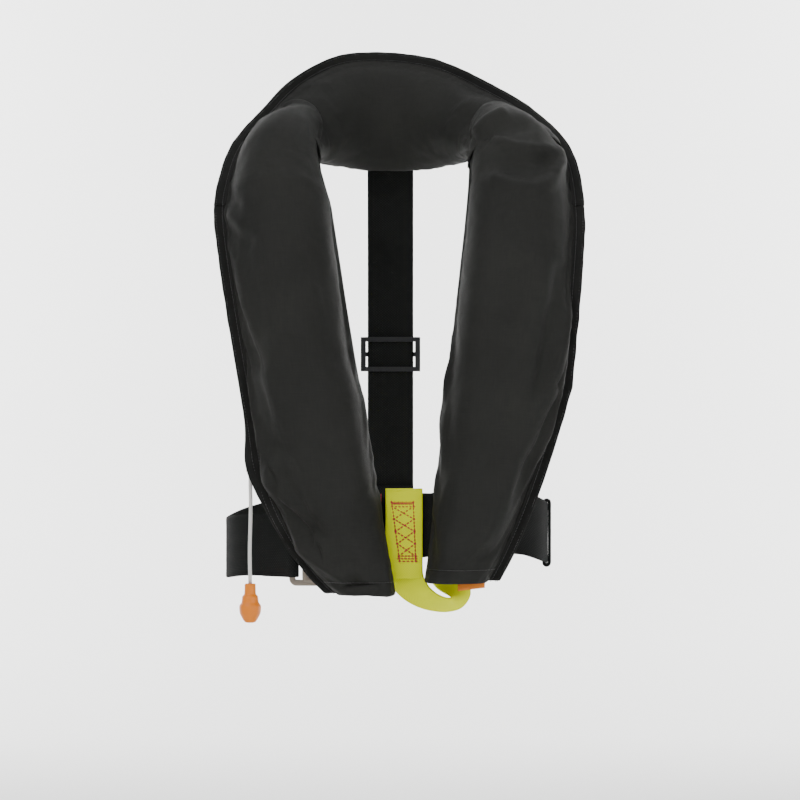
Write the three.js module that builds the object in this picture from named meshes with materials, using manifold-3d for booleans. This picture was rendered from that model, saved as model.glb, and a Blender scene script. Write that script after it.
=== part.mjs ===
// Inflatable life jacket (horseshoe type), as worn, in millimetres.
// +Z is up, +X is the wearer's left, and the jacket's front faces -Y.
// The origin is where the neck opening rests on the wearer's shoulders.
import * as THREE from 'three';
import { mergeVertices } from 'three/addons/utils/BufferGeometryUtils.js';
import Module from 'manifold-3d';

const wasm = await Module();
wasm.setup();

// ---- driving dimensions -------------------------------------------------------------------
const GAP = 0.4; // clearance between touching pieces
const CLOTH = 1.6; // cover and panel cloth with its lining
const LOBE_CROWN = 48; // height of a packed lobe above its back panel
const HEM_CROWN = 26; // the same at the open lower hem
const COLLAR_CROWN = 36; // packed collar thickness
const COLLAR_SLACK = 1.2; // extra room under the collar's twisted cover
const LOBE_TOP_Z = -45; // where the lobes meet the collar
const CHEST_Y = -101; // back panels lie flat in this plane on the chest
const CHEST_TOP_Z = -140; // above this the lobes lean back to the shoulder
const SHOULDER_LEAN = 29; // how far the lobe tops lean back
const LOBES = {
  right: {
    side: -1,
    hemZ: -354,
    innerTopX: -47,
    innerHemX: 3.5,
    outerTopX: -145,
    bendX: -110,
    bendZ: -250,
    cornerX: -94,
    cornerZ: -316,
    hemX: -52,
  },
  left: {
    side: 1,
    hemZ: -344,
    innerTopX: 62,
    innerHemX: 28,
    outerTopX: 160,
    bendX: 146,
    bendZ: -190,
    cornerX: 116,
    cornerZ: -298,
    hemX: 88,
  },
};
const FLAP_TOP_DROP = 45; // the peel line starts this far below a lobe's top
const FLAP_SPLIT = 0.8; // slit between a flap and the fixed cover
const BAND_WIDTH = 9; // sewn band along the outer edge
const BAND_THICK = 2.4;
const TAPE_WIDTH = 12; // hook-and-loop closure
const TAPE_THICK = 1.1;
const COLLAR_TOP_Z = 101;
const COLLAR_BACK_Y = 98;
const BLADDER_THICK = 7.5; // folded bladder arm inside a lobe
const BLADDER_LIFT = 4.5; // its height above the back panel
const COLLAR_BLADDER = 18;

const BELT_WIDTH = 50;
const BELT_THICK = 2.2;
const LOOP_THICK = 1.6; // sewn webbing folds
const WAIST = { x: -2.5, y: 10, halfWidth: 132.7, halfDepth: 102, power: 3.2 };
const BELT_END_X = -14; // the belt's front end
const FRAME = { x: -58, y: -91, z: -317, length: 45, height: BELT_WIDTH + 14, bar: 5, thick: 4 };
const HOOK = { x: -58.75, y: -95.6, length: 22.5, height: BELT_WIDTH + 10, bar: 4.5, thick: 3 };

const BECKET_WIDTH = 30;
const BECKET_THICK = 2;
const BECKET_X = 11.5;

const STRAP_WIDTH = 40;
const STRAP_THICK = 2;
const STRAP_Y = 117.2;
const SLIDE_Z = -160;

const CYLINDER = { x: -68, radius: 14.5, length: 124, neckRadius: 6, neckLength: 14.5 };
const HEAD = { radius: 13.5, topZ: -236, bottomZ: -270, bore: 2.5 };
const LEVER = { pivotX: -74.5, z: -254, hub: 4.2, pin: 1.5, reach: 13.5, thick: 4, height: 6 };
const CORD = { x: -110.5, radius: 1.5, length: 88 };
const TOGGLE = { radius: 8.7, length: 31 };
const TUBE = { x: 98, radius: 6, bore: 4, topZ: -121, bottomZ: -236 };
const CAP = { radius: 8, length: 17 };
const WHISTLE = { x: 68, z: -272, length: 40, width: 18, thick: 12 };

// ---- small helpers ------------------------------------------------------------------------
const V = (x, y, z) => new THREE.Vector3(x, y, z);
const mix = THREE.MathUtils.lerp;
const rad = THREE.MathUtils.degToRad;
const steps = (count) => Array.from({ length: count + 1 }, (_, i) => i / count);
const depth = (height) => CHEST_Y - height; // y of a height above the chest panels

function flipped(geometry) {
  const index = geometry.index.array;
  for (let i = 0; i < index.length; i += 3) {
    [index[i], index[i + 1]] = [index[i + 1], index[i]];
  }
  return geometry;
}

function signedVolume(geometry) {
  const p = geometry.attributes.position;
  const index = geometry.index.array;
  const corner = (i) => V(p.getX(index[i]), p.getY(index[i]), p.getZ(index[i]));
  let sum = 0;
  for (let i = 0; i < index.length; i += 3) {
    sum += corner(i).dot(corner(i + 1).cross(corner(i + 2))) / 6;
  }
  return sum;
}

// A cap over a flat, possibly hollowed, ring of points.
function capTriangles(ring) {
  const normal = V(0, 0, 0);
  ring.forEach((p, i) => {
    const q = ring[(i + 1) % ring.length];
    normal.add(V((p.y - q.y) * (p.z + q.z), (p.z - q.z) * (p.x + q.x), (p.x - q.x) * (p.y + q.y)));
  });
  normal.normalize();
  const side = Math.abs(normal.z) < 0.9 ? V(0, 0, 1) : V(1, 0, 0);
  const e1 = side.cross(normal).normalize();
  const e2 = normal.clone().cross(e1);
  const flat = ring.map((p) => new THREE.Vector2(p.dot(e1), p.dot(e2)));
  const area = ([a, b, c]) => flat[b].clone().sub(flat[a]).cross(flat[c].clone().sub(flat[a]));
  return THREE.ShapeUtils.triangulateShape(flat, []).map((t) => (area(t) < 0 ? t.reverse() : t));
}

// Skins a row of rings that all have the same number of points; the ends are capped, or joined
// to each other when the row is closed.
function loft(rings, closed = false) {
  const n = rings[0].length;
  const positions = rings.flat().flatMap((p) => [p.x, p.y, p.z]);
  const index = [];
  const last = closed ? rings.length : rings.length - 1;
  for (let r = 0; r < last; r += 1) {
    const next = ((r + 1) % rings.length) * n;
    for (let i = 0; i < n; i += 1) {
      const j = (i + 1) % n;
      index.push(r * n + i, r * n + j, next + j, r * n + i, next + j, next + i);
    }
  }
  if (!closed) {
    const end = (rings.length - 1) * n;
    capTriangles(rings[0]).forEach(([a, b, c]) => index.push(a, c, b));
    capTriangles(rings[rings.length - 1]).forEach(([a, b, c]) => index.push(end + a, end + b, end + c));
  }
  const geometry = new THREE.BufferGeometry();
  geometry.setAttribute('position', new THREE.Float32BufferAttribute(positions, 3));
  geometry.setIndex(index);
  return signedVolume(geometry) < 0 ? flipped(geometry) : geometry;
}

function solid(geometry) {
  const bare = geometry.clone();
  bare.deleteAttribute('normal');
  bare.deleteAttribute('uv');
  const merged = mergeVertices(bare, 1e-4);
  return new wasm.Manifold(
    new wasm.Mesh({
      numProp: 3,
      vertProperties: new Float32Array(merged.attributes.position.array),
      triVerts: new Uint32Array(merged.index.array),
    }),
  );
}

function geometryOf(manifold) {
  const mesh = manifold.getMesh();
  const geometry = new THREE.BufferGeometry();
  geometry.setAttribute('position', new THREE.Float32BufferAttribute(mesh.vertProperties, 3));
  geometry.setIndex(new THREE.BufferAttribute(mesh.triVerts, 1));
  return geometry;
}

const joined = (...geometries) => geometryOf(geometries.map(solid).reduce((a, b) => a.add(b)));
const cut = (body, ...tools) =>
  geometryOf(tools.map(solid).reduce((left, tool) => left.subtract(tool), solid(body)));

// A box between two corners.
function boxBetween(low, high) {
  const size = high.clone().sub(low);
  const middle = low.clone().add(high).multiplyScalar(0.5);
  return new THREE.BoxGeometry(size.x, size.y, size.z).translate(middle.x, middle.y, middle.z);
}

// A round bar between two points.
function rod(from, to, radius, sides = 16) {
  const axis = to.clone().sub(from);
  const turn = new THREE.Quaternion().setFromUnitVectors(V(0, 1, 0), axis.clone().normalize());
  const middle = from.clone().add(to).multiplyScalar(0.5);
  return new THREE.CylinderGeometry(radius, radius, axis.length(), sides)
    .applyQuaternion(turn)
    .translate(middle.x, middle.y, middle.z);
}

// A turned shape about a vertical line; the profile is [radius, z] pairs going upwards.
function turned(profile, x, y, sides = 20) {
  const points = profile.map(([r, z]) => new THREE.Vector2(r, z));
  const geometry = new THREE.LatheGeometry(points, sides).rotateX(Math.PI / 2).translate(x, y, 0);
  return geometry;
}

// Flat webbing along a row of { p, w } stations: w points across the webbing.
function webbing(stations, width, thick, closed = false) {
  const rings = stations.map(({ p, w }, i) => {
    const count = stations.length;
    const before = stations[closed ? (i + count - 1) % count : Math.max(i - 1, 0)].p;
    const after = stations[closed ? (i + 1) % count : Math.min(i + 1, count - 1)].p;
    const along = after.clone().sub(before).normalize();
    const across = w.clone().normalize();
    const normal = along.cross(across).normalize();
    const corner = (a, b) =>
      p.clone().addScaledVector(across, (a * width) / 2).addScaledVector(normal, (b * thick) / 2);
    return [corner(-1, -1), corner(1, -1), corner(1, 1), corner(-1, 1)];
  });
  return loft(rings, closed);
}

// The space on one side of an upright plane through (x, z) whose normal is (nx, nz).
function halfSpace(x, z, nx, nz) {
  const reach = 700;
  return new THREE.BoxGeometry(reach, reach, reach)
    .translate(reach / 2, 0, 0)
    .rotateY(Math.atan2(-nz, nx))
    .translate(x, 0, z);
}

// ---- the horseshoe: stations hold its inner edge a, outer edge b and outward direction v ----
const lean = (z) => Math.max(0, (z - CHEST_TOP_Z) / (LOBE_TOP_Z - CHEST_TOP_Z));
const backY = (z) => CHEST_Y + SHOULDER_LEAN * lean(z) ** 2;
const leanSlope = (z) => (2 * SHOULDER_LEAN * lean(z)) / (LOBE_TOP_Z - CHEST_TOP_Z);
const innerX = (lobe, z) =>
  mix(lobe.innerTopX, lobe.innerHemX, (LOBE_TOP_Z - z) / (LOBE_TOP_Z - lobe.hemZ));

function crownAt(lobe, z) {
  const drop = THREE.MathUtils.clamp((lobe.bendZ - z) / (lobe.bendZ - lobe.hemZ), 0, 1);
  return mix(LOBE_CROWN, HEM_CROWN, drop ** 1.5);
}

// The outer edge runs straight to the bend, then in one curve to the hem.
function outerEdge(lobe) {
  const straight = steps(5).map((t) => ({
    x: mix(lobe.outerTopX, lobe.bendX, t),
    z: mix(LOBE_TOP_Z, lobe.bendZ, t),
  }));
  const corner = new THREE.QuadraticBezierCurve(
    new THREE.Vector2(lobe.bendX, lobe.bendZ),
    new THREE.Vector2(lobe.cornerX, lobe.cornerZ),
    new THREE.Vector2(lobe.hemX, lobe.hemZ),
  );
  const curved = corner.getPoints(7).slice(1).map((p) => ({ x: p.x, z: p.y }));
  return [...straight, ...curved];
}

function lobeStations(lobe) {
  return outerEdge(lobe).map(({ x, z }) => ({
    a: V(innerX(lobe, z), backY(z), z),
    b: V(x, backY(z), z),
    v: V(0, -1, leanSlope(z)).normalize(),
    crown: crownAt(lobe, z),
  }));
}

// The collar's two edges, from the right lobe round the neck to the left lobe.
const COLLAR_STEPS = 24;
const topY = backY(LOBE_TOP_Z);
const innerNeck = new THREE.CatmullRomCurve3([
  V(LOBES.right.innerTopX, topY, LOBE_TOP_Z),
  V(-57, -42, -12),
  V(-66, 8, 0),
  V(-60, 52, 1),
  V(-34, 84, 1),
  V(0, COLLAR_BACK_Y - 4, 0),
  V(32, 84, 1),
  V(60, 52, 1),
  V(68, 8, 0),
  V(65, -42, -12),
  V(LOBES.left.innerTopX, topY, LOBE_TOP_Z),
]);
const outerNeck = new THREE.CatmullRomCurve3([
  V(LOBES.right.outerTopX, topY, LOBE_TOP_Z),
  V(-133, -34, 2),
  V(-110, 12, COLLAR_TOP_Z * 0.4),
  V(-84, 54, COLLAR_TOP_Z * 0.73),
  V(-46, 87, COLLAR_TOP_Z * 0.96),
  V(-4, COLLAR_BACK_Y, COLLAR_TOP_Z),
  V(40, 87, COLLAR_TOP_Z * 0.93),
  V(84, 54, COLLAR_TOP_Z * 0.7),
  V(122, 12, COLLAR_TOP_Z * 0.4),
  V(150, -34, 2),
  V(LOBES.left.outerTopX, topY, LOBE_TOP_Z),
]);

function collarStations() {
  const lobeLean = V(0, -1, leanSlope(LOBE_TOP_Z)).normalize();
  return steps(COLLAR_STEPS).map((t) => {
    const a = innerNeck.getPoint(t);
    const b = outerNeck.getPoint(t);
    const along = innerNeck.getTangent(t).add(outerNeck.getTangent(t));
    const across = b.clone().sub(a);
    const v = along.cross(across).normalize();
    const end = Math.min(1, Math.min(t, 1 - t) * 8);
    const crown = mix(LOBE_CROWN, COLLAR_CROWN, Math.min(1, Math.min(t, 1 - t) * 4));
    return { a, b, v: lobeLean.clone().lerp(v, end).normalize(), crown };
  });
}

// A point of a station: u from the inner edge towards the outer one, h out from the panel.
function at(station, u, h) {
  const across = station.b.clone().sub(station.a).normalize();
  return station.a.clone().addScaledVector(across, u).addScaledVector(station.v, h);
}
const widthOf = (station) => station.b.distanceTo(station.a);

// Lofts a four-cornered strip whose u and h limits depend on the station.
function strip(stations, limits) {
  return loft(
    stations.map((s) => {
      const [u0, u1, h0, h1] = limits(widthOf(s), s);
      return [at(s, u0, h0), at(s, u1, h0), at(s, u1, h1), at(s, u0, h1)];
    }),
  );
}

const BAND_LIFT = CLOTH + GAP;
const archWidth = (width) => width - BAND_WIDTH - GAP;
const ARCH_POWER = 2.4;

// The crowned cover: an arch of cloth from the inner edge to just inside the outer band.
function archRing(station, sides, slack) {
  const half = archWidth(widthOf(station)) / 2;
  const innerFoot = CLOTH + GAP + slack;
  const outerFoot = CLOTH + 2 * TAPE_THICK + 3 * GAP + slack;
  const line = (inset) =>
    steps(sides).map((t) => {
      const c = Math.cos(Math.PI * t);
      const s = Math.sin(Math.PI * t);
      const foot = mix(innerFoot, outerFoot, t);
      const u = half - (half - inset) * Math.sign(c) * Math.abs(c) ** (2 / ARCH_POWER);
      const rise = Math.max(s, 0) ** (2 / ARCH_POWER);
      return at(station, u, foot + (station.crown - inset - foot) * rise);
    });
  return [...line(0), ...line(CLOTH).reverse()];
}

const archShell = (stations, sides, slack = 0) =>
  loft(stations.map((s) => archRing(s, sides, slack)));
const backPanel = (stations) => strip(stations, (w) => [0, w, 0, CLOTH]);

// The collar's panel twists, so it also has points under the edges of what lies on it.
const twistedPanel = (stations) =>
  loft(
    stations.map((s) => {
      const w = widthOf(s);
      const across = [0, 0.25 * w, 0.5 * w, w - BAND_WIDTH - TAPE_WIDTH, w - BAND_WIDTH, w];
      return [...across.map((u) => at(s, u, 0)), ...across.map((u) => at(s, u, CLOTH)).reverse()];
    }),
  );
const edgeBand = (stations, slack = 0) =>
  strip(stations, (w) => [w - BAND_WIDTH, w, BAND_LIFT + slack, BAND_LIFT + slack + BAND_THICK]);
const tape = (stations, lift) =>
  strip(stations, (w) => [
    w - BAND_WIDTH - GAP - TAPE_WIDTH,
    w - BAND_WIDTH - GAP,
    lift,
    lift + TAPE_THICK,
  ]);

// Trims a lobe's stations by GAP where it meets the collar.
function trimmed(stations, gap) {
  const [first, ...rest] = stations;
  const down = V(0, 0, -gap);
  return [{ ...first, a: first.a.clone().add(down), b: first.b.clone().add(down) }, ...rest];
}

// The peel line runs from the outer edge down to the inner hem corner.
function peel(lobe) {
  const topZ = LOBE_TOP_Z - FLAP_TOP_DROP;
  const top = new THREE.Vector2(
    mix(lobe.outerTopX, lobe.bendX, FLAP_TOP_DROP / (LOBE_TOP_Z - lobe.bendZ)),
    topZ,
  );
  const along = new THREE.Vector2(lobe.innerHemX, lobe.hemZ).sub(top).normalize();
  const out = new THREE.Vector2(-along.y * lobe.side, along.x * lobe.side);
  return { top, along, out };
}

function splitByPeel(lobe, geometry) {
  const { top, out } = peel(lobe);
  const half = FLAP_SPLIT / 2;
  const flapSide = halfSpace(top.x - out.x * half, top.y - out.y * half, out.x, out.y);
  const fixedSide = halfSpace(top.x + out.x * half, top.y + out.y * half, -out.x, -out.y);
  return { fixed: cut(geometry, flapSide), flap: cut(geometry, fixedSide) };
}

// ---- scene graph --------------------------------------------------------------------------
const jacket = new THREE.Group();

const FINISH = {
  cover: { color: 0x2a2b2c, roughness: 0.72, metalness: 0 },
  lining: { color: 0x1d1e20, roughness: 0.85, metalness: 0 },
  band: { color: 0x222325, roughness: 0.8, metalness: 0 },
  tape: { color: 0x151617, roughness: 0.95, metalness: 0 },
  bladder: { color: 0xe8781c, roughness: 0.5, metalness: 0 },
  belt: { color: 0x1b1c1e, roughness: 0.8, metalness: 0 },
  steel: { color: 0xb8b5ad, roughness: 0.3, metalness: 1 },
  lime: { color: 0xdfe31f, roughness: 0.75, metalness: 0 },
  blackPlastic: { color: 0x1a1a1b, roughness: 0.45, metalness: 0 },
  orangePlastic: { color: 0xf0961e, roughness: 0.35, metalness: 0 },
  whiteCord: { color: 0xeceae4, roughness: 0.8, metalness: 0 },
  greenPlastic: { color: 0x2f9e44, roughness: 0.4, metalness: 0 },
  cylinder: { color: 0xc9ccce, roughness: 0.35, metalness: 0.8 },
  rubber: { color: 0x101010, roughness: 0.7, metalness: 0 },
  redPlastic: { color: 0xc8261c, roughness: 0.4, metalness: 0 },
};

function add(name, geometry, finish) {
  const mesh = new THREE.Mesh(geometry, new THREE.MeshStandardMaterial(FINISH[finish]));
  mesh.name = name;
  jacket.add(mesh);
  return mesh;
}

// ---- covers, panels, bands and closure ------------------------------------------------------
const collar = collarStations();
add('collar_cover', archShell(collar, 10, COLLAR_SLACK), 'cover');
add('collar_back_panel', twistedPanel(collar), 'lining');
add('edge_band_collar', edgeBand(collar, COLLAR_SLACK / 2), 'band');

// The cord leaves the right lobe through a gap in the closure at its outer edge.
const PORT = { topZ: LEVER.z + 22, bottomZ: LEVER.z - 40, lift: 22 };
const cordPort = boxBetween(
  V(CORD.x - 14, depth(PORT.lift), PORT.bottomZ),
  V(LEVER.pivotX - 12, depth(CLOTH + 0.2), PORT.topZ),
);
const abovePort = boxBetween(V(-400, -400, PORT.bottomZ), V(400, 400, 400));
const belowPort = boxBetween(V(-400, -400, -600), V(400, 400, PORT.topZ));

for (const [name, lobe] of Object.entries(LOBES)) {
  const stations = trimmed(lobeStations(lobe), GAP);
  const shell = splitByPeel(lobe, archShell(stations, 12));
  const band = splitByPeel(lobe, edgeBand(stations));
  const hookTape = splitByPeel(lobe, tape(stations, CLOTH + GAP));
  const loopTape = splitByPeel(lobe, tape(stations, CLOTH + TAPE_THICK + 2 * GAP));
  add(`back_panel_${name}`, backPanel(stations), 'lining');
  add(`cover_front_${name}`, shell.fixed, 'cover');
  add(`edge_band_${name}`, band.fixed, 'band');
  add(`hook_tape_${name}`, hookTape.flap, 'tape');
  if (name === 'right') {
    add('cover_flap_right', cut(shell.flap, cordPort), 'cover');
    add('flap_band_right_upper', cut(band.flap, belowPort), 'band');
    add('flap_band_right_lower', cut(band.flap, abovePort), 'band');
    add('loop_tape_right_upper', cut(loopTape.flap, belowPort), 'tape');
    add('loop_tape_right_lower', cut(loopTape.flap, abovePort), 'tape');
  } else {
    add('cover_flap_left', shell.flap, 'cover');
    add('flap_band_left', band.flap, 'band');
    add('loop_tape_left', loopTape.flap, 'tape');
  }
}

// ---- folded bladder -------------------------------------------------------------------------
// One folded horseshoe: thin in the lobes, full behind the neck.
const BLADDER_END = { right: 3, left: 2 }; // stations left free above each hem
const bladderRing = (margin, thick, lift = BLADDER_LIFT) => (s) => {
  const w = widthOf(s);
  const top = lift + thick;
  const side = [lift, mix(lift, top, 0.3), mix(lift, top, 0.7), top];
  const inset = [3, 0, 0.2 * thick, 0.6 * thick];
  return [
    ...side.map((h, i) => at(s, margin + inset[i], h)),
    ...side.map((h, i) => at(s, w - BAND_WIDTH - TAPE_WIDTH - 3 * GAP - inset[i], h)).reverse(),
  ];
};
function bladderArm(lobe, spare) {
  return lobeStations(lobe).slice(0, -spare).map(bladderRing(8, BLADDER_THICK));
}
const bladderNeck = collar.slice(1, -1).map((s, i, row) => {
  const t = Math.min(1, Math.min(i, row.length - 1 - i) / 4);
  return bladderRing(8, mix(BLADDER_THICK, COLLAR_BLADDER, t), BLADDER_LIFT + COLLAR_SLACK * t)(s);
});
const bladder = loft([
  ...bladderArm(LOBES.right, BLADDER_END.right).reverse(),
  ...bladderNeck,
  ...bladderArm(LOBES.left, BLADDER_END.left),
]);
const TAB = { x: 65, width: 22, thick: 2, topZ: -305, bottomZ: -351 };
const bladderTab = boxBetween(
  V(TAB.x - TAB.width / 2, depth(BLADDER_LIFT + 5), TAB.bottomZ),
  V(TAB.x + TAB.width / 2, depth(BLADDER_LIFT + 5 - TAB.thick), TAB.topZ),
);
add('bladder', joined(bladder, bladderTab), 'bladder');

// ---- waist belt -----------------------------------------------------------------------------
// The angle, in degrees from the wearer's left, at which the belt's front passes x.
function frontAngle(x) {
  const t = (x - WAIST.x) / WAIST.halfWidth;
  return -450 + THREE.MathUtils.radToDeg(Math.asin(Math.sign(t) * Math.abs(t) ** (WAIST.power / 2)));
}

// Belt height round the waist, from the buckle frame round the back to the buckle hook.
const BELT_LINE = [
  [-134, -317],
  [-180, -322],
  [-270, -306],
  [-360, -310],
  [-430, -294],
  [frontAngle(BELT_END_X), -303],
];
function beltZ(angle) {
  const i = Math.max(1, BELT_LINE.findIndex(([a]) => a <= angle));
  const [a0, z0] = BELT_LINE[i - 1];
  const [a1, z1] = BELT_LINE[i];
  return mix(z0, z1, THREE.MathUtils.smoothstep(a0 - angle, 0, a0 - a1));
}
function waistPoint(angle, offset = 0) {
  const c = Math.cos(rad(angle));
  const s = Math.sin(rad(angle));
  const bow = (t) => Math.sign(t) * Math.abs(t) ** (2 / WAIST.power);
  return V(
    WAIST.x + (WAIST.halfWidth + offset) * bow(c),
    WAIST.y + (WAIST.halfDepth + offset) * bow(s),
    beltZ(angle),
  );
}
const UP = V(0, 0, 1);
const FRAME_BAR = V(FRAME.x - FRAME.length / 2 + FRAME.bar / 2, FRAME.y, FRAME.z);
const beltStart = BELT_LINE[0][0];
const beltEnd = BELT_LINE[BELT_LINE.length - 1][0];
const toBelt = waistPoint(beltStart).sub(FRAME_BAR).setZ(0).normalize();
const BELT_SET_BACK = 9; // the belt ends this far from the frame's bar
const beltStations = [
  { p: FRAME_BAR.clone().addScaledVector(toBelt, BELT_SET_BACK), w: UP },
  ...steps(44).map((t) => ({ p: waistPoint(mix(beltStart, beltEnd, t)), w: UP })),
];
add('waist_belt', webbing(beltStations, BELT_WIDTH, BELT_THICK), 'belt');

// Folds of webbing sewn over the belt's two ends, round the buckle's bars.
const foldOffset = BELT_THICK / 2 + LOOP_THICK / 2 + GAP;
const frameFoldRadius = Math.hypot(FRAME.bar, FRAME.thick) / 2 + GAP + LOOP_THICK / 2 + 0.2;
const sideways = V(-toBelt.y, toBelt.x, 0);
const frameFold = [
  { p: FRAME_BAR.clone().addScaledVector(toBelt, 27).addScaledVector(sideways, foldOffset), w: UP },
  ...steps(8).map((t) => {
    const turn = mix(rad(70), rad(290), t);
    return {
      p: FRAME_BAR.clone()
        .addScaledVector(toBelt, frameFoldRadius * Math.cos(turn))
        .addScaledVector(sideways, frameFoldRadius * Math.sin(turn)),
      w: UP,
    };
  }),
  { p: FRAME_BAR.clone().addScaledVector(toBelt, 27).addScaledVector(sideways, -foldOffset), w: UP },
];
add('belt_fold_frame', webbing(frameFold, BELT_WIDTH, LOOP_THICK), 'belt');

const hookFold = [
  [-6, -89.6, -299],
  [-16, -89.2, -303.5],
  [-27, -86, -309],
  [-37, -84.5, -314],
  [-42, -85.6, -315.5],
  [-52.2, -92.4, -316],
  [-54, -95.6, -316],
  [-52.4, -98.1, -316],
  [-49.8, -98.6, -316],
  [-47, -98, -316],
  [-45.6, -95.4, -316],
  [-44.4, -91.2, -316],
  [-42.2, -88, -315.5],
  [-36, -87.4, -314],
  [-24, -89.6, -309],
  [-15, -94.6, -303.5],
  [-6, -94.7, -299],
].map(([x, y, z]) => ({ p: V(x, y, z), w: UP }));
add('belt_fold_hook', webbing(hookFold, BELT_WIDTH, LOOP_THICK), 'belt');

// ---- buckle ---------------------------------------------------------------------------------
function roundedRect(width, height, radius) {
  const shape = new THREE.Shape();
  const [w, h] = [width / 2, height / 2];
  shape.absarc(w - radius, h - radius, radius, 0, rad(90));
  shape.absarc(-w + radius, h - radius, radius, rad(90), rad(180));
  shape.absarc(-w + radius, -h + radius, radius, rad(180), rad(270));
  shape.absarc(w - radius, -h + radius, radius, rad(270), rad(360));
  shape.closePath();
  return shape;
}
function ringPlate({ length, height, bar, thick }, radius, barZ) {
  const shape = roundedRect(length, height, radius);
  shape.holes.push(roundedRect(length - 2 * bar, height - 2 * barZ, radius / 3));
  const options = { depth: thick, bevelEnabled: false, curveSegments: 4 };
  return new THREE.ExtrudeGeometry(shape, options).translate(0, 0, -thick / 2).rotateX(Math.PI / 2);
}
add('buckle_frame', ringPlate(FRAME, 6, FRAME.bar), 'steel').position.set(FRAME.x, FRAME.y, FRAME.z);
add('buckle_hook', ringPlate(HOOK, 4, HOOK.bar - 0.5), 'steel').position.set(HOOK.x, HOOK.y, FRAME.z + 1);

// ---- lifting becket -------------------------------------------------------------------------
const ALONG = V(1, 0, 0);
const becketBelt = waistPoint(frontAngle(BECKET_X));
const wrapLift = BELT_THICK / 2 + BECKET_THICK / 2 + GAP + 1.3;
const becketTop = becketBelt.z + BELT_WIDTH / 2 + wrapLift + 2;
const beltFoot = becketBelt.z - BELT_WIDTH / 2;
const becketFoot = beltFoot - 15.4;
const becketWrap = [
  V(BECKET_X, becketBelt.y + wrapLift, becketFoot),
  V(BECKET_X, becketBelt.y + wrapLift, becketTop - 4),
  V(BECKET_X, becketBelt.y + wrapLift * 0.7, becketTop - 1),
  V(BECKET_X, becketBelt.y, becketTop),
  V(BECKET_X, becketBelt.y - wrapLift * 0.7, becketTop - 1),
  V(BECKET_X, becketBelt.y - wrapLift, becketTop - 4),
  V(BECKET_X, becketBelt.y - wrapLift, becketFoot),
].map((p) => ({ p, w: ALONG }));
add('becket_wrap', webbing(becketWrap, BECKET_WIDTH, BECKET_THICK), 'lime');

// The turn hangs below the belt and the left lobe's hem: x, y, drop, and the strap's width line.
const turnTop = Math.min(beltFoot, LOBES.left.hemZ + 16.4);
const becketTurn = [
  [11.5, -91.8, 3.9, V(1, 0, 0)],
  [11.5, -91.8, 13.4, V(1, 0, 0)],
  [12.5, -92.3, 20.4, V(1, -0.1, 0.1)],
  [17, -93.5, 27.4, V(0.85, -0.5, 0.3)],
  [26, -95, 33.9, V(0.5, -0.8, 0.35)],
  [37, -96, 37.9, V(0.15, -0.95, 0.3)],
  [47, -96, 38.4, V(-0.1, -0.97, 0.2)],
  [56, -95.5, 34.4, V(-0.45, -0.88, 0.1)],
  [60.5, -94, 26.4, V(-0.75, -0.65, 0)],
  [61, -92.5, 16.4, V(-0.93, -0.35, 0)],
  [59, -92, 6.4, V(-1, 0, 0)],
  [57, -92, -3.6, V(-1, 0, 0)],
].map(([x, y, drop, w]) => ({ p: V(x, y, turnTop - drop), w }));
add('becket_loop', webbing(becketTurn, BECKET_WIDTH, BECKET_THICK), 'lime');

// ---- back strap -----------------------------------------------------------------------------
const strapTop = COLLAR_BACK_Y + STRAP_THICK / 2 + GAP;
const strapRun = [
  V(0, strapTop, 42),
  V(0, strapTop, 4),
  V(0, mix(strapTop, STRAP_Y, 0.2), -16),
  V(0, mix(strapTop, STRAP_Y, 0.75), -60),
  V(0, STRAP_Y, -92),
  V(0, STRAP_Y, -322),
].map((p) => ({ p, w: ALONG }));
add('back_strap', webbing(strapRun, STRAP_WIDTH, STRAP_THICK), 'belt');

// A loop sewn to the strap's foot holds the belt.
const backBelt = waistPoint(-270);
const yokeDepth = BELT_THICK / 2 + LOOP_THICK / 2 + GAP;
const yokeHalf = BELT_WIDTH / 2 + LOOP_THICK / 2 + 2.5;
const yoke = [
  [-yokeDepth, -yokeHalf + 2],
  [-yokeDepth, yokeHalf - 2],
  [0, yokeHalf],
  [yokeDepth, yokeHalf - 2],
  [yokeDepth, -yokeHalf + 2],
  [0, -yokeHalf],
].map(([y, z]) => ({ p: V(0, backBelt.y + y, backBelt.z + z), w: ALONG }));
add('back_yoke_loop', webbing(yoke, STRAP_WIDTH, LOOP_THICK, true), 'belt');

// Three-bar slide: the strap runs behind the middle bar and in front of the outer ones.
const SLIDE = { width: STRAP_WIDTH + 12, height: 30, bar: 4, rail: 4.5 };
const slideReach = STRAP_THICK / 2 + GAP + 2.6;
const slideRail = (side) => {
  const inner = (side * SLIDE.width) / 2 - side * SLIDE.rail;
  const outer = (side * SLIDE.width) / 2;
  return boxBetween(
    V(Math.min(inner, outer), STRAP_Y - slideReach, SLIDE_Z - SLIDE.height / 2),
    V(Math.max(inner, outer), STRAP_Y + slideReach, SLIDE_Z + SLIDE.height / 2),
  );
};
const slideBar = (z, out) => {
  const near = STRAP_Y + out * (STRAP_THICK / 2 + GAP);
  const far = STRAP_Y + out * slideReach;
  return boxBetween(
    V(-SLIDE.width / 2 + 1, Math.min(near, far), z - SLIDE.bar / 2),
    V(SLIDE.width / 2 - 1, Math.max(near, far), z + SLIDE.bar / 2),
  );
};
const slideEnd = SLIDE.height / 2 - SLIDE.bar / 2;
add(
  'back_slide',
  joined(
    slideRail(-1),
    slideRail(1),
    slideBar(SLIDE_Z, 1),
    slideBar(SLIDE_Z - slideEnd, -1),
    slideBar(SLIDE_Z + slideEnd, -1),
  ),
  'blackPlastic',
);

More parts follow.
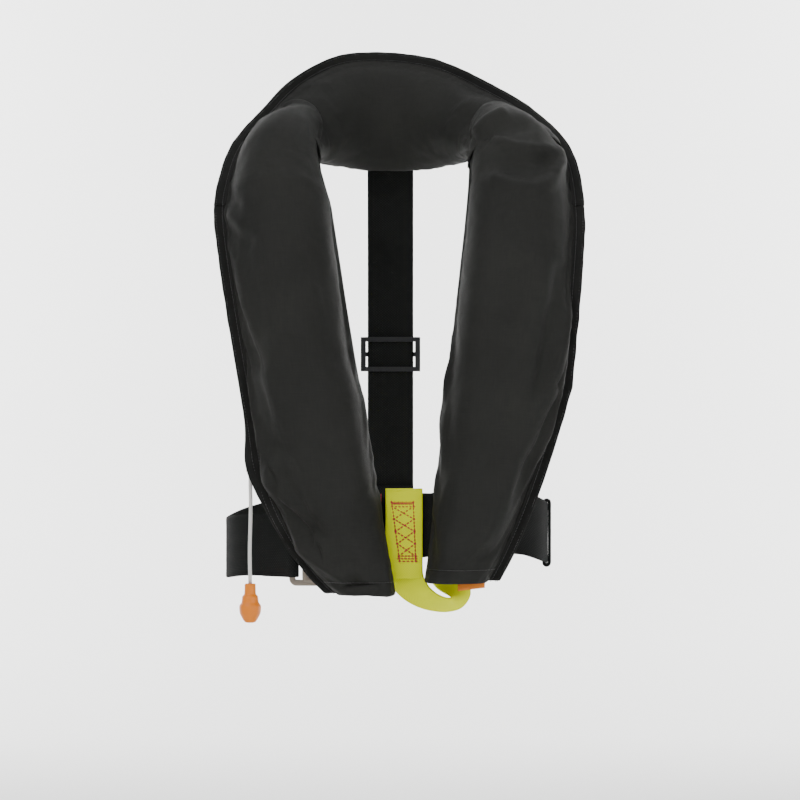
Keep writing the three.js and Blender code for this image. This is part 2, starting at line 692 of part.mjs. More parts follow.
// An elastic keeper round the belt on the wearer's left side.
const KEEPER_ANGLE = -366;
const KEEPER_WIDTH = 20;
const keeperAt = waistPoint(KEEPER_ANGLE);
const keeperAlong = waistPoint(KEEPER_ANGLE - 2).sub(waistPoint(KEEPER_ANGLE + 2)).setZ(0).normalize();
const keeperOut = keeperAlong.clone().cross(UP);
const keeperHalf = BELT_WIDTH / 2 + 3;
const keeperDepth = BELT_THICK / 2 + LOOP_THICK / 2 + GAP + 0.5;
const keeper = [
  [-keeperDepth, -keeperHalf + 2],
  [-keeperDepth, keeperHalf - 2],
  [0, keeperHalf],
  [keeperDepth, keeperHalf - 2],
  [keeperDepth, -keeperHalf + 2],
  [0, -keeperHalf],
].map(([out, z]) => ({
  p: keeperAt.clone().addScaledVector(keeperOut, out).addScaledVector(UP, z),
  w: keeperAlong,
}));
add('belt_keeper', webbing(keeper, KEEPER_WIDTH, LOOP_THICK, true), 'rubber');

// ---- inflator (wearer's right lobe) -----------------------------------------------------------
const headLift = BLADDER_LIFT + BLADDER_THICK + 1 + Math.max(CYLINDER.radius, HEAD.radius);
const headY = depth(headLift);
const socketDepth = 6;
const washer = { thick: 1.2, radius: CYLINDER.neckRadius };
const neckEnd = HEAD.topZ - socketDepth + washer.thick + 0.3;
const shoulderZ = neckEnd + CYLINDER.neckLength;
const cylinderTop = shoulderZ + CYLINDER.length;
const domeStart = cylinderTop - CYLINDER.radius;
const recess = { radius: HEAD.bore + 0.5 };
const neckTop = shoulderZ - 1;
add(
  'cylinder_neck',
  turned(
    [
      [recess.radius, neckEnd],
      [CYLINDER.neckRadius, neckEnd],
      [CYLINDER.neckRadius, neckTop],
      [recess.radius, neckTop],
      [recess.radius, neckEnd],
    ],
    CYLINDER.x,
    headY,
  ),
  'cylinder',
);
add(
  'co2_cylinder',
  turned(
    [
      [0, neckTop],
      [CYLINDER.neckRadius, neckTop],
      [CYLINDER.radius * 0.75, shoulderZ + 3],
      [CYLINDER.radius, shoulderZ + 10],
      ...steps(5).map((t) => [
        CYLINDER.radius * Math.cos(t * rad(90)),
        domeStart + CYLINDER.radius * Math.sin(t * rad(90)),
      ]),
    ],
    CYLINDER.x,
    headY,
  ),
  'cylinder',
);
add(
  'seal_washer',
  turned(
    [
      [recess.radius + 0.3, HEAD.topZ - socketDepth + 0.15],
      [washer.radius, HEAD.topZ - socketDepth + 0.15],
      [washer.radius, HEAD.topZ - socketDepth + washer.thick],
      [recess.radius + 0.3, HEAD.topZ - socketDepth + washer.thick],
      [recess.radius + 0.3, HEAD.topZ - socketDepth + 0.15],
    ],
    CYLINDER.x,
    headY,
  ),
  'rubber',
);

const headBlock = turned(
  [
    [0, HEAD.bottomZ],
    [HEAD.radius - 1.5, HEAD.bottomZ],
    [HEAD.radius, HEAD.bottomZ + 1.5],
    [HEAD.radius, HEAD.topZ - 1.5],
    [HEAD.radius - 1.5, HEAD.topZ],
    [CYLINDER.neckRadius + 0.3, HEAD.topZ],
    [CYLINDER.neckRadius + 0.3, HEAD.topZ - socketDepth],
    [HEAD.bore, HEAD.topZ - socketDepth],
    [HEAD.bore, LEVER.z],
    [0, LEVER.z],
  ],
  CYLINDER.x,
  headY,
);
const stemEnd = BLADDER_LIFT + BLADDER_THICK + GAP;
const stem = rod(
  V(CYLINDER.x + 2, depth(stemEnd), HEAD.bottomZ + 10),
  V(CYLINDER.x + 2, headY, HEAD.bottomZ + 10),
  8,
);
const slotHalf = LEVER.hub + 1.4;
const leverSlot = boxBetween(
  V(CYLINDER.x - 40, headY - slotHalf, HEAD.bottomZ - 1),
  V(LEVER.pivotX + 7.2, depth(headLift - 16), LEVER.z + 7.2),
);
const pivotBore = rod(V(LEVER.pivotX, headY - 12, LEVER.z), V(LEVER.pivotX, headY, LEVER.z), LEVER.pin + 0.3);
add('inflator_head', cut(joined(headBlock, stem), leverSlot, pivotBore), 'blackPlastic');
add(
  'lever_pin',
  rod(
    V(LEVER.pivotX, headY - HEAD.radius + 3.2, LEVER.z),
    V(LEVER.pivotX, headY + slotHalf, LEVER.z),
    LEVER.pin,
    12,
  ),
  'steel',
);

// The lever is cranked back so that its arm lies close over the bladder.
const armLow = BLADDER_LIFT + BLADDER_THICK + 1.5;
const armHigh = armLow + LEVER.thick;
const hubFront = headY - slotHalf + 0.6;
const hubBack = headY + slotHalf - 0.6;
const leverHub = rod(V(LEVER.pivotX, hubFront, LEVER.z), V(LEVER.pivotX, hubBack, LEVER.z), LEVER.hub);
const leverNose = boxBetween(
  V(LEVER.pivotX, headY - 2, LEVER.z - 2),
  V(LEVER.pivotX + 6, headY + 2, LEVER.z + 2),
);
const leverLink = boxBetween(
  V(LEVER.pivotX - LEVER.reach, hubFront, LEVER.z - LEVER.height / 2),
  V(LEVER.pivotX, hubBack, LEVER.z + LEVER.height / 2),
);
const leverCrank = boxBetween(
  V(LEVER.pivotX - LEVER.reach, hubFront, LEVER.z - LEVER.height / 2),
  V(LEVER.pivotX - 9.5, depth(armLow), LEVER.z + LEVER.height / 2),
);
const leverArm = boxBetween(
  V(CORD.x - 3, depth(armHigh), LEVER.z - LEVER.height / 2),
  V(LEVER.pivotX - 9.5, depth(armLow), LEVER.z + LEVER.height / 2),
);
const hubBore = rod(
  V(LEVER.pivotX, headY - 20, LEVER.z),
  V(LEVER.pivotX, headY + 20, LEVER.z),
  LEVER.pin + 0.3,
);
add(
  'firing_lever',
  cut(joined(leverHub, leverNose, leverLink, leverCrank, leverArm), hubBore),
  'redPlastic',
);
const pinFoot = LEVER.z + 2 + 0.4;
add(
  'piercing_pin',
  turned(
    [
      [0, pinFoot],
      [HEAD.bore - 0.3, pinFoot],
      [HEAD.bore - 0.3, pinFoot + 6],
      [0, pinFoot + 9.5],
    ],
    CYLINDER.x,
    headY,
    16,
  ),
  'steel',
);
const nutFace = headY - HEAD.radius;
add(
  'valve_nut',
  new THREE.CylinderGeometry(7, 7, 2.6, 6)
    .translate(CYLINDER.x + 4, nutFace - 1.3 - GAP, HEAD.bottomZ + 22),
  'steel',
);
add(
  'status_clip',
  boxBetween(
    V(CYLINDER.x + HEAD.radius + GAP, headY - 4, LEVER.z - 6),
    V(CYLINDER.x + HEAD.radius + GAP + 3, headY + 4, LEVER.z + 6),
  ),
  'greenPlastic',
);

// ---- pull cord and toggle ---------------------------------------------------------------------
const cordY = depth((armLow + armHigh) / 2);
const cordTop = LEVER.z - LEVER.height / 2 - 0.3;
const cordFoot = cordTop - CORD.length;
const cordLine = new THREE.CatmullRomCurve3([
  V(CORD.x, cordY, cordTop),
  V(CORD.x + 0.4, cordY, cordTop - CORD.length * 0.35),
  V(CORD.x - 0.3, cordY, cordTop - CORD.length * 0.7),
  V(CORD.x, cordY, cordFoot),
]);
const cordSection = new THREE.Shape();
cordSection.absarc(0, 0, CORD.radius, 0, rad(360));
add(
  'pull_cord',
  new THREE.ExtrudeGeometry(cordSection, { steps: 12, curveSegments: 4, extrudePath: cordLine }),
  'whiteCord',
);
const knobTop = cordFoot - 0.3;
const knob = [
  [0, 1],
  [0.55, 1],
  [0.85, 0.88],
  [1, 0.74],
  [0.98, 0.6],
  [0.72, 0.36],
  [0.52, 0.22],
  [0.5, 0],
  [0, 0],
];
add(
  'pull_toggle',
  turned(
    knob.map(([r, t]) => [r * TOGGLE.radius, knobTop - t * TOGGLE.length]),
    CORD.x,
    cordY,
    16,
  ),
  'orangePlastic',
);

// ---- oral tube (wearer's left lobe) -----------------------------------------------------------
const tubeLift = BLADDER_LIFT + BLADDER_THICK + 1 + 13;
const tubeY = depth(tubeLift);
const tubeWall = turned(
  [
    [0, TUBE.bottomZ],
    [TUBE.radius, TUBE.bottomZ],
    [TUBE.radius, TUBE.topZ],
    [TUBE.bore, TUBE.topZ],
    [TUBE.bore, TUBE.bottomZ + 12],
    [0, TUBE.bottomZ + 12],
  ],
  TUBE.x,
  tubeY,
);
const tubeFlange = rod(
  V(TUBE.x, depth(stemEnd), TUBE.bottomZ + 9),
  V(TUBE.x, depth(stemEnd + 3), TUBE.bottomZ + 9),
  15,
  24,
);
const tubeElbow = rod(
  V(TUBE.x, depth(stemEnd + 1), TUBE.bottomZ + 7),
  V(TUBE.x, tubeY, TUBE.bottomZ + 7),
  6.5,
);
add('oral_tube', joined(tubeWall, tubeFlange, tubeElbow), 'blackPlastic');
const poppetTop = TUBE.topZ - 1.5;
add(
  'oral_valve_poppet',
  turned(
    [
      [0, poppetTop - 5],
      [TUBE.bore - 0.4, poppetTop - 5],
      [TUBE.bore - 0.4, poppetTop - 1],
      [1.8, poppetTop],
      [0, poppetTop],
    ],
    TUBE.x,
    tubeY,
    16,
  ),
  'redPlastic',
);
add(
  'oral_dust_cap',
  turned(
    [
      [TUBE.radius + 0.4, TUBE.topZ - CAP.length + 4],
      [CAP.radius, TUBE.topZ - CAP.length + 4],
      [CAP.radius, TUBE.topZ + 2],
      [CAP.radius - 2, TUBE.topZ + 4],
      [0, TUBE.topZ + 4],
      [0, TUBE.topZ + 1],
      [TUBE.radius + 0.4, TUBE.topZ + 1],
      [TUBE.radius + 0.4, TUBE.topZ - CAP.length + 4],
    ],
    TUBE.x,
    tubeY,
  ),
  'blackPlastic',
);

// ---- whistle and its lanyard --------------------------------------------------------------------
const whistleY = depth(stemEnd + 1.5 + WHISTLE.thick / 2);
const half = { x: WHISTLE.width / 2, y: WHISTLE.thick / 2, z: WHISTLE.length / 2 };
const whistleBody = boxBetween(
  V(WHISTLE.x - half.x, whistleY - half.y, WHISTLE.z - half.z),
  V(WHISTLE.x + half.x, whistleY + half.y, WHISTLE.z + half.z),
);
const whistleMouth = boxBetween(
  V(WHISTLE.x - half.x + 2, whistleY - half.y + 3, WHISTLE.z - half.z - 1),
  V(WHISTLE.x + half.x - 2, whistleY + half.y - 3, WHISTLE.z + half.z - 12),
);
const whistleWindow = boxBetween(
  V(WHISTLE.x - half.x + 3, whistleY - half.y - 1, WHISTLE.z - 6),
  V(WHISTLE.x + half.x - 3, whistleY, WHISTLE.z),
);
add('whistle', cut(whistleBody, whistleMouth, whistleWindow), 'orangePlastic');
const lanyardLine = new THREE.CatmullRomCurve3([
  V(WHISTLE.x, whistleY, WHISTLE.z + half.z + 0.4),
  V(WHISTLE.x + 2, whistleY, WHISTLE.z + half.z + 10),
  V(TUBE.x - 2, tubeY + 2, TUBE.bottomZ - 18),
  V(TUBE.x, tubeY, TUBE.bottomZ - 6.4),
]);
const lanyardSection = new THREE.Shape();
lanyardSection.absarc(0, 0, 1, 0, rad(360));
add(
  'whistle_lanyard',
  new THREE.ExtrudeGeometry(lanyardSection, { steps: 8, curveSegments: 4, extrudePath: lanyardLine }),
  'whiteCord',
);

export default jacket;
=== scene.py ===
"""Looks of the horseshoe life jacket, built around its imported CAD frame.

Sizes are in millimetres in the CAD's axes: +Z up, +X the wearer's left, the front facing -Y.
Meshes are written in metres at the origin, so Object coordinates are the jacket's own.
"""

import logging
import math
from collections.abc import Callable, Sequence
from dataclasses import dataclass, field
from enum import Enum

import bmesh
import bpy
import numpy as np
from mathutils import Matrix, Vector, noise
from mathutils.bvhtree import BVHTree


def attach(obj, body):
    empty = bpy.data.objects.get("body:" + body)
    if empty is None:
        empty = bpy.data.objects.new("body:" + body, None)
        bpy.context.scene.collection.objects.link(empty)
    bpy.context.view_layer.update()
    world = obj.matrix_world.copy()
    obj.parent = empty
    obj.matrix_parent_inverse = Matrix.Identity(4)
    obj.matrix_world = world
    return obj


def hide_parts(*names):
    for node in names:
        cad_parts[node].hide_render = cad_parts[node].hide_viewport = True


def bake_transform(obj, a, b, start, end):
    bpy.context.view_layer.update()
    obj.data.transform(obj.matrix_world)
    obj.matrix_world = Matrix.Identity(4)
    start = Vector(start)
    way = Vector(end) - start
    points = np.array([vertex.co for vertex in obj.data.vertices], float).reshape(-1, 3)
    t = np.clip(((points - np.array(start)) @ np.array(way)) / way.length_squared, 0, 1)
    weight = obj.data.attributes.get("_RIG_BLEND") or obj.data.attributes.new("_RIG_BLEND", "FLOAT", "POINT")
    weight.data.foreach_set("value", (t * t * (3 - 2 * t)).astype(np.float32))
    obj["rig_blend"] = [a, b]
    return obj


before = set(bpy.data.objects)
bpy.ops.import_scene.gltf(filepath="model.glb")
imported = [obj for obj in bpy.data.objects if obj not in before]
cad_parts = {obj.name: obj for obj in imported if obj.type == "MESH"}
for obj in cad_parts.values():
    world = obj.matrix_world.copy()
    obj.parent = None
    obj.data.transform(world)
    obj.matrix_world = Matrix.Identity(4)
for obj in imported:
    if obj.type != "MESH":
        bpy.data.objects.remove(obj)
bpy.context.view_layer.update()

LOG = logging.getLogger("life_jacket")
MM = 0.001
Array = np.ndarray
Piece = bpy.types.Object
Material = bpy.types.Material
Tree = bpy.types.NodeTree
Node = bpy.types.Node
Socket = bpy.types.NodeSocket
Colour = tuple[float, float, float]
Place = tuple[float, float, float]
Pairs = Sequence[tuple[float, float]]
Titles = Sequence[tuple[str, str, object]]
Heights = Callable[[float], float]
UP = np.array([0.0, 0.0, 1.0])
ALONG_X = np.array([1.0, 0.0, 0.0])


class Body(str, Enum):
    """The CAD bodies that pieces ride on."""

    JACKET = "jacket"
    RIGHT_FLAP = "right_flap"
    LEFT_FLAP = "left_flap"
    HANDLE = "pull_handle"
    HOOK_RING = "buckle_hook_ring"
    CYLINDER = "cylinder"


# ---- small maths ----


def mix(low: float | Array, high: float | Array, share: float | Array) -> float | Array:
    """Linear blend from low to high."""
    return low + (high - low) * share


def ease(share: float) -> float:
    """Smooth step of a share, held within 0 and 1."""
    held = min(1.0, max(0.0, share))
    return held * held * (3 - 2 * held)


def unit(vector: Array) -> Array:
    """The vector at length 1."""
    return vector / max(float(np.linalg.norm(vector)), 1e-12)


def point(x: float, y: float, z: float) -> Array:
    """A point in millimetres."""
    return np.array([x, y, z], float)


def ripple(x: float, y: float, seed: float) -> float:
    """Fixed smooth noise in -1 to 1; x and y are in units of one wrinkle."""
    return noise.noise(Vector((x, y, seed)))


def catmull(points: Sequence[Array], share: float) -> Array:
    """Centripetal Catmull-Rom curve through the points.

    Args:
        points: The points the curve passes through.
        share: Place on the curve, 0 to 1, even in points and not in length.

    Returns:
        The point on the curve.
    """
    last = len(points) - 1
    place = share * last
    i = min(int(place), last - 1)
    t = place - i
    p1, p2 = points[i], points[i + 1]
    p0 = points[i - 1] if i > 0 else 2 * p1 - p2
    p3 = points[i + 2] if i + 2 <= last else 2 * p2 - p1
    d0, d1, d2 = (max(float(np.linalg.norm(b - a)) ** 0.5, 1e-4) for a, b in ((p0, p1), (p1, p2), (p2, p3)))
    m1 = ((p1 - p0) / d0 - (p2 - p0) / (d0 + d1) + (p2 - p1) / d1) * d1
    m2 = ((p2 - p1) / d1 - (p3 - p1) / (d1 + d2) + (p3 - p2) / d2) * d1
    c2 = -3 * p1 + 3 * p2 - 2 * m1 - m2
    c3 = 2 * p1 - 2 * p2 + m1 + m2
    return p1 + m1 * t + c2 * t**2 + c3 * t**3


def along_curve(points: Sequence[Array], count: int) -> list[Array]:
    """Evenly spaced points on the curve through the given ones."""
    fine = np.array([catmull(points, i / (count * 4)) for i in range(count * 4 + 1)])
    return list(even(fine, count))


def even(line: Array, count: int) -> Array:
    """Resamples a polyline to count + 1 points at equal distances."""
    gaps = np.linalg.norm(np.diff(line, axis=0), axis=1)
    run = np.concatenate([[0], np.cumsum(gaps)])
    places = np.linspace(0, run[-1], count + 1)
    return np.column_stack([np.interp(places, run, line[:, k]) for k in range(line.shape[1])])


# ---- mesh making ----


def link(piece: Piece) -> None:
    """Puts an object in the scene."""
    bpy.context.scene.collection.objects.link(piece)


def spots_of(piece: Piece) -> Array:
    """The mesh's points, in metres."""
    return np.array([v.co for v in piece.data.vertices])


def normals_of(piece: Piece) -> Array:
    """The mesh's normals at its points."""
    return np.array([v.normal for v in piece.data.vertices])


def move_to(piece: Piece, spots: Array) -> None:
    """Moves the mesh's points to new places, in metres."""
    piece.data.vertices.foreach_set("co", spots.astype(np.float32).ravel())
    piece.data.update()


def make_piece(name: str, verts: Array, faces: list[tuple[int, ...]], uvs: Array | None = None) -> Piece:
    """Makes a smooth-shaded mesh object at the origin.

    Args:
        name: The piece's name.
        verts: Points in millimetres.
        faces: Vertex numbers of each face.
        uvs: Each vertex's place on the cloth, in metres.

    Returns:
        The new object, linked to the scene.
    """
    mesh = bpy.data.meshes.new(name)
    mesh.from_pydata((np.asarray(verts) * MM).tolist(), [], faces)
    mesh.update()
    if uvs is not None:
        layer = mesh.uv_layers.new(name="UVMap")
        corner = np.zeros(len(mesh.loops), np.int32)
        mesh.loops.foreach_get("vertex_index", corner)
        layer.data.foreach_set("uv", np.asarray(uvs, np.float32)[corner].ravel())
    mesh.polygons.foreach_set("use_smooth", [True] * len(mesh.polygons))
    piece = bpy.data.objects.new(name, mesh)
    link(piece)
    return piece


def outward(piece: Piece) -> None:
    """Turns a closed mesh's faces outwards."""
    work = bmesh.new()
    work.from_mesh(piece.data)
    bmesh.ops.recalc_face_normals(work, faces=work.faces)
    if work.calc_volume(signed=True) < 0:
        bmesh.ops.reverse_faces(work, faces=work.faces)
    work.to_mesh(piece.data)
    work.free()


def grid_faces(rows: int, columns: int, flip: bool = False) -> list[tuple[int, ...]]:
    """Quads of a grid of points numbered row by row."""
    faces = []
    for r in range(rows - 1):
        for c in range(columns - 1):
            a = r * columns + c
            quad = (a, a + 1, a + columns + 1, a + columns)
            faces.append(quad[::-1] if flip else quad)
    return faces


def skin_rings(
    name: str, rings: Sequence[Array], closed: bool = False, profile_uv: Sequence[float] | None = None
) -> Piece:
    """Skins a row of rings of equal size; the ends are capped unless the row is closed.

    Args:
        name: The piece's name.
        rings: Rings of points in millimetres.
        closed: Whether the last ring joins the first.
        profile_uv: Place round the ring of each point, in millimetres.

    Returns:
        The new object, its faces outward.
    """
    size = len(rings[0])
    verts = np.concatenate([np.asarray(r) for r in rings])
    faces: list[tuple[int, ...]] = []
    count = len(rings)
    for r in range(count if closed else count - 1):
        start, after = r * size, ((r + 1) % count) * size
        for i in range(size):
            j = (i + 1) % size
            faces.append((start + i, start + j, after + j, after + i))
    if not closed:
        faces.append(tuple(reversed(range(size))))
        faces.append(tuple((count - 1) * size + i for i in range(size)))
    centres = np.array([np.mean(r, axis=0) for r in rings])
    run = np.concatenate([[0], np.cumsum(np.linalg.norm(np.diff(centres, axis=0), axis=1))])
    if profile_uv is None:
        first = np.asarray(rings[0])
        gaps = np.linalg.norm(np.diff(first, axis=0), axis=1)
        profile_uv = list(np.concatenate([[0], np.cumsum(gaps)]))
    uvs = np.array([(u, v) for v in run for u in profile_uv]) * MM
    piece = make_piece(name, verts, faces, uvs)
    outward(piece)
    return piece


def turned(name: str, profile: Pairs, x: float, y: float, sides: int = 64) -> Piece:
    """A turned shape about an upright line at x, y.

    Args:
        name: The piece's name.
        profile: (radius, z) pairs from one end to the other.
        x: Place of the line.
        y: Place of the line.
        sides: Faces round the shape.

    Returns:
        The new closed object.
    """
    angles = np.linspace(0, 2 * math.pi, sides, endpoint=False)
    rings = [
        np.column_stack([x + r * np.cos(angles), y + r * np.sin(angles), np.full(sides, z)])
        for r, z in ((max(r, 0.02), z) for r, z in profile)
    ]
    return skin_rings(name, rings, profile_uv=list(angles * 10))


def rounded(profile: Pairs, radius: float, cuts: int = 4) -> list[tuple[float, float]]:
    """Rounds the corners of an open profile with short curves."""
    points = [np.array(p, float) for p in profile]
    out = [tuple(points[0])]
    for before, here, after in zip(points, points[1:], points[2:]):
        to_before, to_after = before - here, after - here
        reach = min(radius, 0.45 * np.linalg.norm(to_before), 0.45 * np.linalg.norm(to_after))
        start, end = here + unit(to_before) * reach, here + unit(to_after) * reach
        for k in range(cuts + 1):
            t = k / cuts
            out.append(tuple((1 - t) ** 2 * start + 2 * t * (1 - t) * here + t**2 * end))
    out.append(tuple(points[-1]))
    return out


def apply_modifiers(piece: Piece) -> None:
    """Turns the piece's modifiers into its mesh."""
    graph = bpy.context.evaluated_depsgraph_get()
    mesh = bpy.data.meshes.new_from_object(piece.evaluated_get(graph), depsgraph=graph)
    mesh.name = piece.name
    piece.modifiers.clear()
    piece.data = mesh


def finish_cloth(piece: Piece, thickness: float, levels: int = 1) -> None:
    """Gives a sheet its thickness inwards and smooths it once."""
    if levels:
        smooth = piece.modifiers.new("Smooth", "SUBSURF")
        smooth.levels = smooth.render_levels = levels
        smooth.uv_smooth = "PRESERVE_BOUNDARIES"
    wall = piece.modifiers.new("Wall", "SOLIDIFY")
    wall.thickness = thickness * MM
    wall.offset = -1.0
    wall.use_even_offset = False
    apply_modifiers(piece)


def soften_edges(piece: Piece, width: float) -> None:
    """Small rounded edges on a hard piece, kept live as a modifier."""
    weld = piece.modifiers.new("Joined corners", "WELD")
    weld.merge_threshold = 0.005 * MM
    bevel = piece.modifiers.new("Soft edges", "BEVEL")
    bevel.width = width * MM
    bevel.segments = 2
    bevel.limit_method = "ANGLE"
    bevel.angle_limit = math.radians(38)
    bevel.harden_normals = False


# ---- shader groups and finishes ----


class Graph:
    """Short calls that add nodes to one node tree."""

    def __init__(self, tree: Tree) -> None:
        """Works on the given tree."""
        self.tree = tree

    def add(self, kind: str, inputs: dict[str | int, object] | None = None, **settings: object) -> Node:
        """Adds a node, sets its properties, and links or fills its inputs."""
        node = self.tree.nodes.new(kind)
        for key, value in settings.items():
            setattr(node, key, value)
        for key, value in (inputs or {}).items():
            socket = node.inputs[key]
            if isinstance(value, Socket):
                self.tree.links.new(value, socket)
            else:
                socket.default_value = value
        return node

    def maths(self, operation: str, *values: object) -> Socket:
        """One Math node's result."""
        node = self.add("ShaderNodeMath", dict(enumerate(values)), operation=operation)
        return node.outputs[0]

    def noise(self, vector: Socket, scale: float, detail: float = 3.0, rough: float = 0.55) -> Socket:
        """Noise value in 0 to 1."""
        inputs = {"Vector": vector, "Scale": scale, "Detail": detail, "Roughness": rough}
        return self.add("ShaderNodeTexNoise", inputs).outputs[0]

    def blend(self, share: object, low: object, high: object) -> Socket:
        """Colour blend by share."""
        node = self.tree.nodes.new("ShaderNodeMix")
        node.data_type = "RGBA"
        for key, value in ((0, share), (6, low), (7, high)):
            if isinstance(value, Socket):
                self.tree.links.new(value, node.inputs[key])
            elif key == 0:
                node.inputs[key].default_value = value
            else:
                node.inputs[key].default_value = (*value, 1.0)
        return node.outputs[2]

    def range(self, value: object, low: float, high: float) -> Socket:
        """Maps 0 to 1 onto low to high."""
        node = self.add("ShaderNodeMapRange", {0: value, 1: 0.0, 2: 1.0, 3: low, 4: high})
        return node.outputs[0]


def new_group(name: str, inputs: Titles, outputs: Sequence[tuple[str, str]]) -> tuple[Tree, Graph]:
    """Makes an empty shader group with its sockets."""
    group = bpy.data.node_groups.new(name, "ShaderNodeTree")
    for title, kind, value in inputs:
        socket = group.interface.new_socket(name=title, in_out="INPUT", socket_type=kind)
        if value is not None:
            socket.default_value = value
    for title, kind in outputs:
        group.interface.new_socket(name=title, in_out="OUTPUT", socket_type=kind)
    return group, Graph(group)


class EffectGroups:
    """The shader groups shared by several finishes, each built once."""

    def __init__(self) -> None:
        """Builds every group."""
        self.weave = self._weave()
        self.ribs = self._ribs()
        self.mottle = self._mottle()
        self.grain = self._grain()

    @staticmethod
    def _weave() -> Tree:
        """Over-and-under threads; Thread is the spacing in metres."""
        group, g = new_group(
            "plain_weave",
            [
                ("Vector", "NodeSocketVector", None),
                ("Thread", "NodeSocketFloat", 0.0005),
                ("Slub", "NodeSocketFloat", 0.5),
            ],
            [("Height", "NodeSocketFloat"), ("Shade", "NodeSocketFloat")],
        )
        start = g.add("NodeGroupInput")
        split = g.add("ShaderNodeSeparateXYZ", {0: start.outputs["Vector"]})
        turns = [
            g.maths("MULTIPLY", g.maths("DIVIDE", split.outputs[axis], start.outputs["Thread"]), math.pi)
            for axis in (0, 1)
        ]
        waves = [g.maths("SINE", turn) for turn in turns]
        over = g.maths("GREATER_THAN", g.maths("MULTIPLY", waves[0], waves[1]), 0.0)
        rows = [g.maths("ABSOLUTE", wave) for wave in waves]
        height = g.add("ShaderNodeMix", {0: over, 2: rows[0], 3: rows[1]}, data_type="FLOAT").outputs[0]
        streaks = []
        for stretch in ((60.0, 1400.0, 1.0), (1400.0, 60.0, 1.0)):
            turned_map = g.add("ShaderNodeMapping", {"Vector": start.outputs["Vector"], "Scale": stretch})
            streaks.append(g.noise(turned_map.outputs[0], 1.0, 2.0))
        slub = g.maths("MULTIPLY", g.maths("ADD", streaks[0], streaks[1]), start.outputs["Slub"])
        g.add("NodeGroupOutput", {"Height": g.maths("ADD", height, slub), "Shade": slub})
        return group

    @staticmethod
    def _ribs() -> Tree:
        """Ribs of webbing across its length, with fine warp threads along it; Shade is their height, used as painted
        shade that darkens the grooves.
        """
        group, g = new_group(
            "webbing_ribs",
            [
                ("Vector", "NodeSocketVector", None),
                ("Rib", "NodeSocketFloat", 0.0016),
                ("Warp", "NodeSocketFloat", 0.0009),
            ],
            [("Height", "NodeSocketFloat"), ("Shade", "NodeSocketFloat")],
        )
        start = g.add("NodeGroupInput")
        split = g.add("ShaderNodeSeparateXYZ", {0: start.outputs["Vector"]})
        across = g.maths("MULTIPLY", g.maths("DIVIDE", split.outputs[0], start.outputs["Warp"]), math.pi)
        step = g.maths("MULTIPLY", g.maths("SIGN", g.maths("SINE", across)), math.pi / 4)
        along = g.maths("MULTIPLY", g.maths("DIVIDE", split.outputs[1], start.outputs["Rib"]), math.pi)
        rib = g.maths("ABSOLUTE", g.maths("SINE", g.maths("ADD", along, step)))
        warp = g.maths("ABSOLUTE", g.maths("SINE", across))
        height = g.maths("MULTIPLY", rib, g.maths("ADD", warp, 0.4))
        fuzz = g.noise(start.outputs["Vector"], 2500.0, 2.0)
        rough = g.maths("ADD", height, g.maths("MULTIPLY", fuzz, 0.3))
        g.add("NodeGroupOutput", {"Height": rough, "Shade": g.range(height, 0.0, 1.0)})
        return group

    @staticmethod
    def _mottle() -> Tree:
        """Soft handling marks and dust at two scales."""
        group, g = new_group(
            "soft_mottle",
            [("Vector", "NodeSocketVector", None), ("Scale", "NodeSocketFloat", 12.0)],
            [("Broad", "NodeSocketFloat"), ("Fine", "NodeSocketFloat")],
        )
        start = g.add("NodeGroupInput")
        place, scale = start.outputs[0], start.outputs[1]
        marks = {}
        for title, size, detail in (("Broad", scale, 2.0), ("Fine", g.maths("MULTIPLY", scale, 14.0), 4.0)):
            cloud = g.add("ShaderNodeTexNoise", {"Vector": place, "Scale": size, "Detail": detail})
            marks[title] = cloud.outputs[0]
        g.add("NodeGroupOutput", marks)
        return group

    @staticmethod
    def _grain() -> Tree:
        """Fine moulded grain with a few long scratches."""
        group, g = new_group(
            "moulded_grain",
            [("Vector", "NodeSocketVector", None), ("Scale", "NodeSocketFloat", 900.0)],
            [("Height", "NodeSocketFloat"), ("Scuff", "NodeSocketFloat")],
        )
        start = g.add("NodeGroupInput")
        cells = g.add("ShaderNodeTexVoronoi", {"Vector": start.outputs[0], "Scale": start.outputs[1]})
        drawn = g.add("ShaderNodeMapping", {"Vector": start.outputs[0], "Scale": (40.0, 40.0, 900.0)})
        scratch = g.maths("POWER", g.noise(drawn.outputs[0], 1.0, 1.0), 4.0)
        g.add("NodeGroupOutput", {"Height": cells.outputs[0], "Scuff": scratch})
        return group


@dataclass
class Surface:
    """A material being built: its graph, shader and coordinates."""

    material: Material
    g: Graph
    shader: Node
    uv: Socket
    place: Socket

    def group(self, tree: Tree, vector: Socket, **values: float) -> Node:
        """Places a shared group with its values."""
        node = self.g.add("ShaderNodeGroup", node_tree=tree)
        self.g.tree.links.new(vector, node.inputs["Vector"])
        for key, value in values.items():
            node.inputs[key].default_value = value
        return node

    def feed(self, socket: str, value: Socket) -> None:
        """Links a value to the shader."""
        self.g.tree.links.new(value, self.shader.inputs[socket])

    def bump(self, height: Socket, strength: float, distance: float) -> None:
        """Feeds a height to the shader's normal."""
        node = self.g.add("ShaderNodeBump", {"Height": height, "Strength": strength, "Distance": distance})
        self.feed("Normal", node.outputs[0])


def new_surface(name: str, **sockets: object) -> Surface:
    """A material with a Principled BSDF whose plain sockets are set directly."""
    material = bpy.data.materials.new(name)
    material.use_nodes = True
    tree = material.node_tree
    tree.nodes.clear()
    g = Graph(tree)
    shader = g.add("ShaderNodeBsdfPrincipled", {key: value for key, value in sockets.items()})
    g.add("ShaderNodeOutputMaterial", {"Surface": shader.outputs[0]})
    coords = g.add("ShaderNodeTexCoord")
    uv = g.add("ShaderNodeUVMap", uv_map="UVMap")
    return Surface(material, g, shader, uv.outputs[0], coords.outputs["Object"])


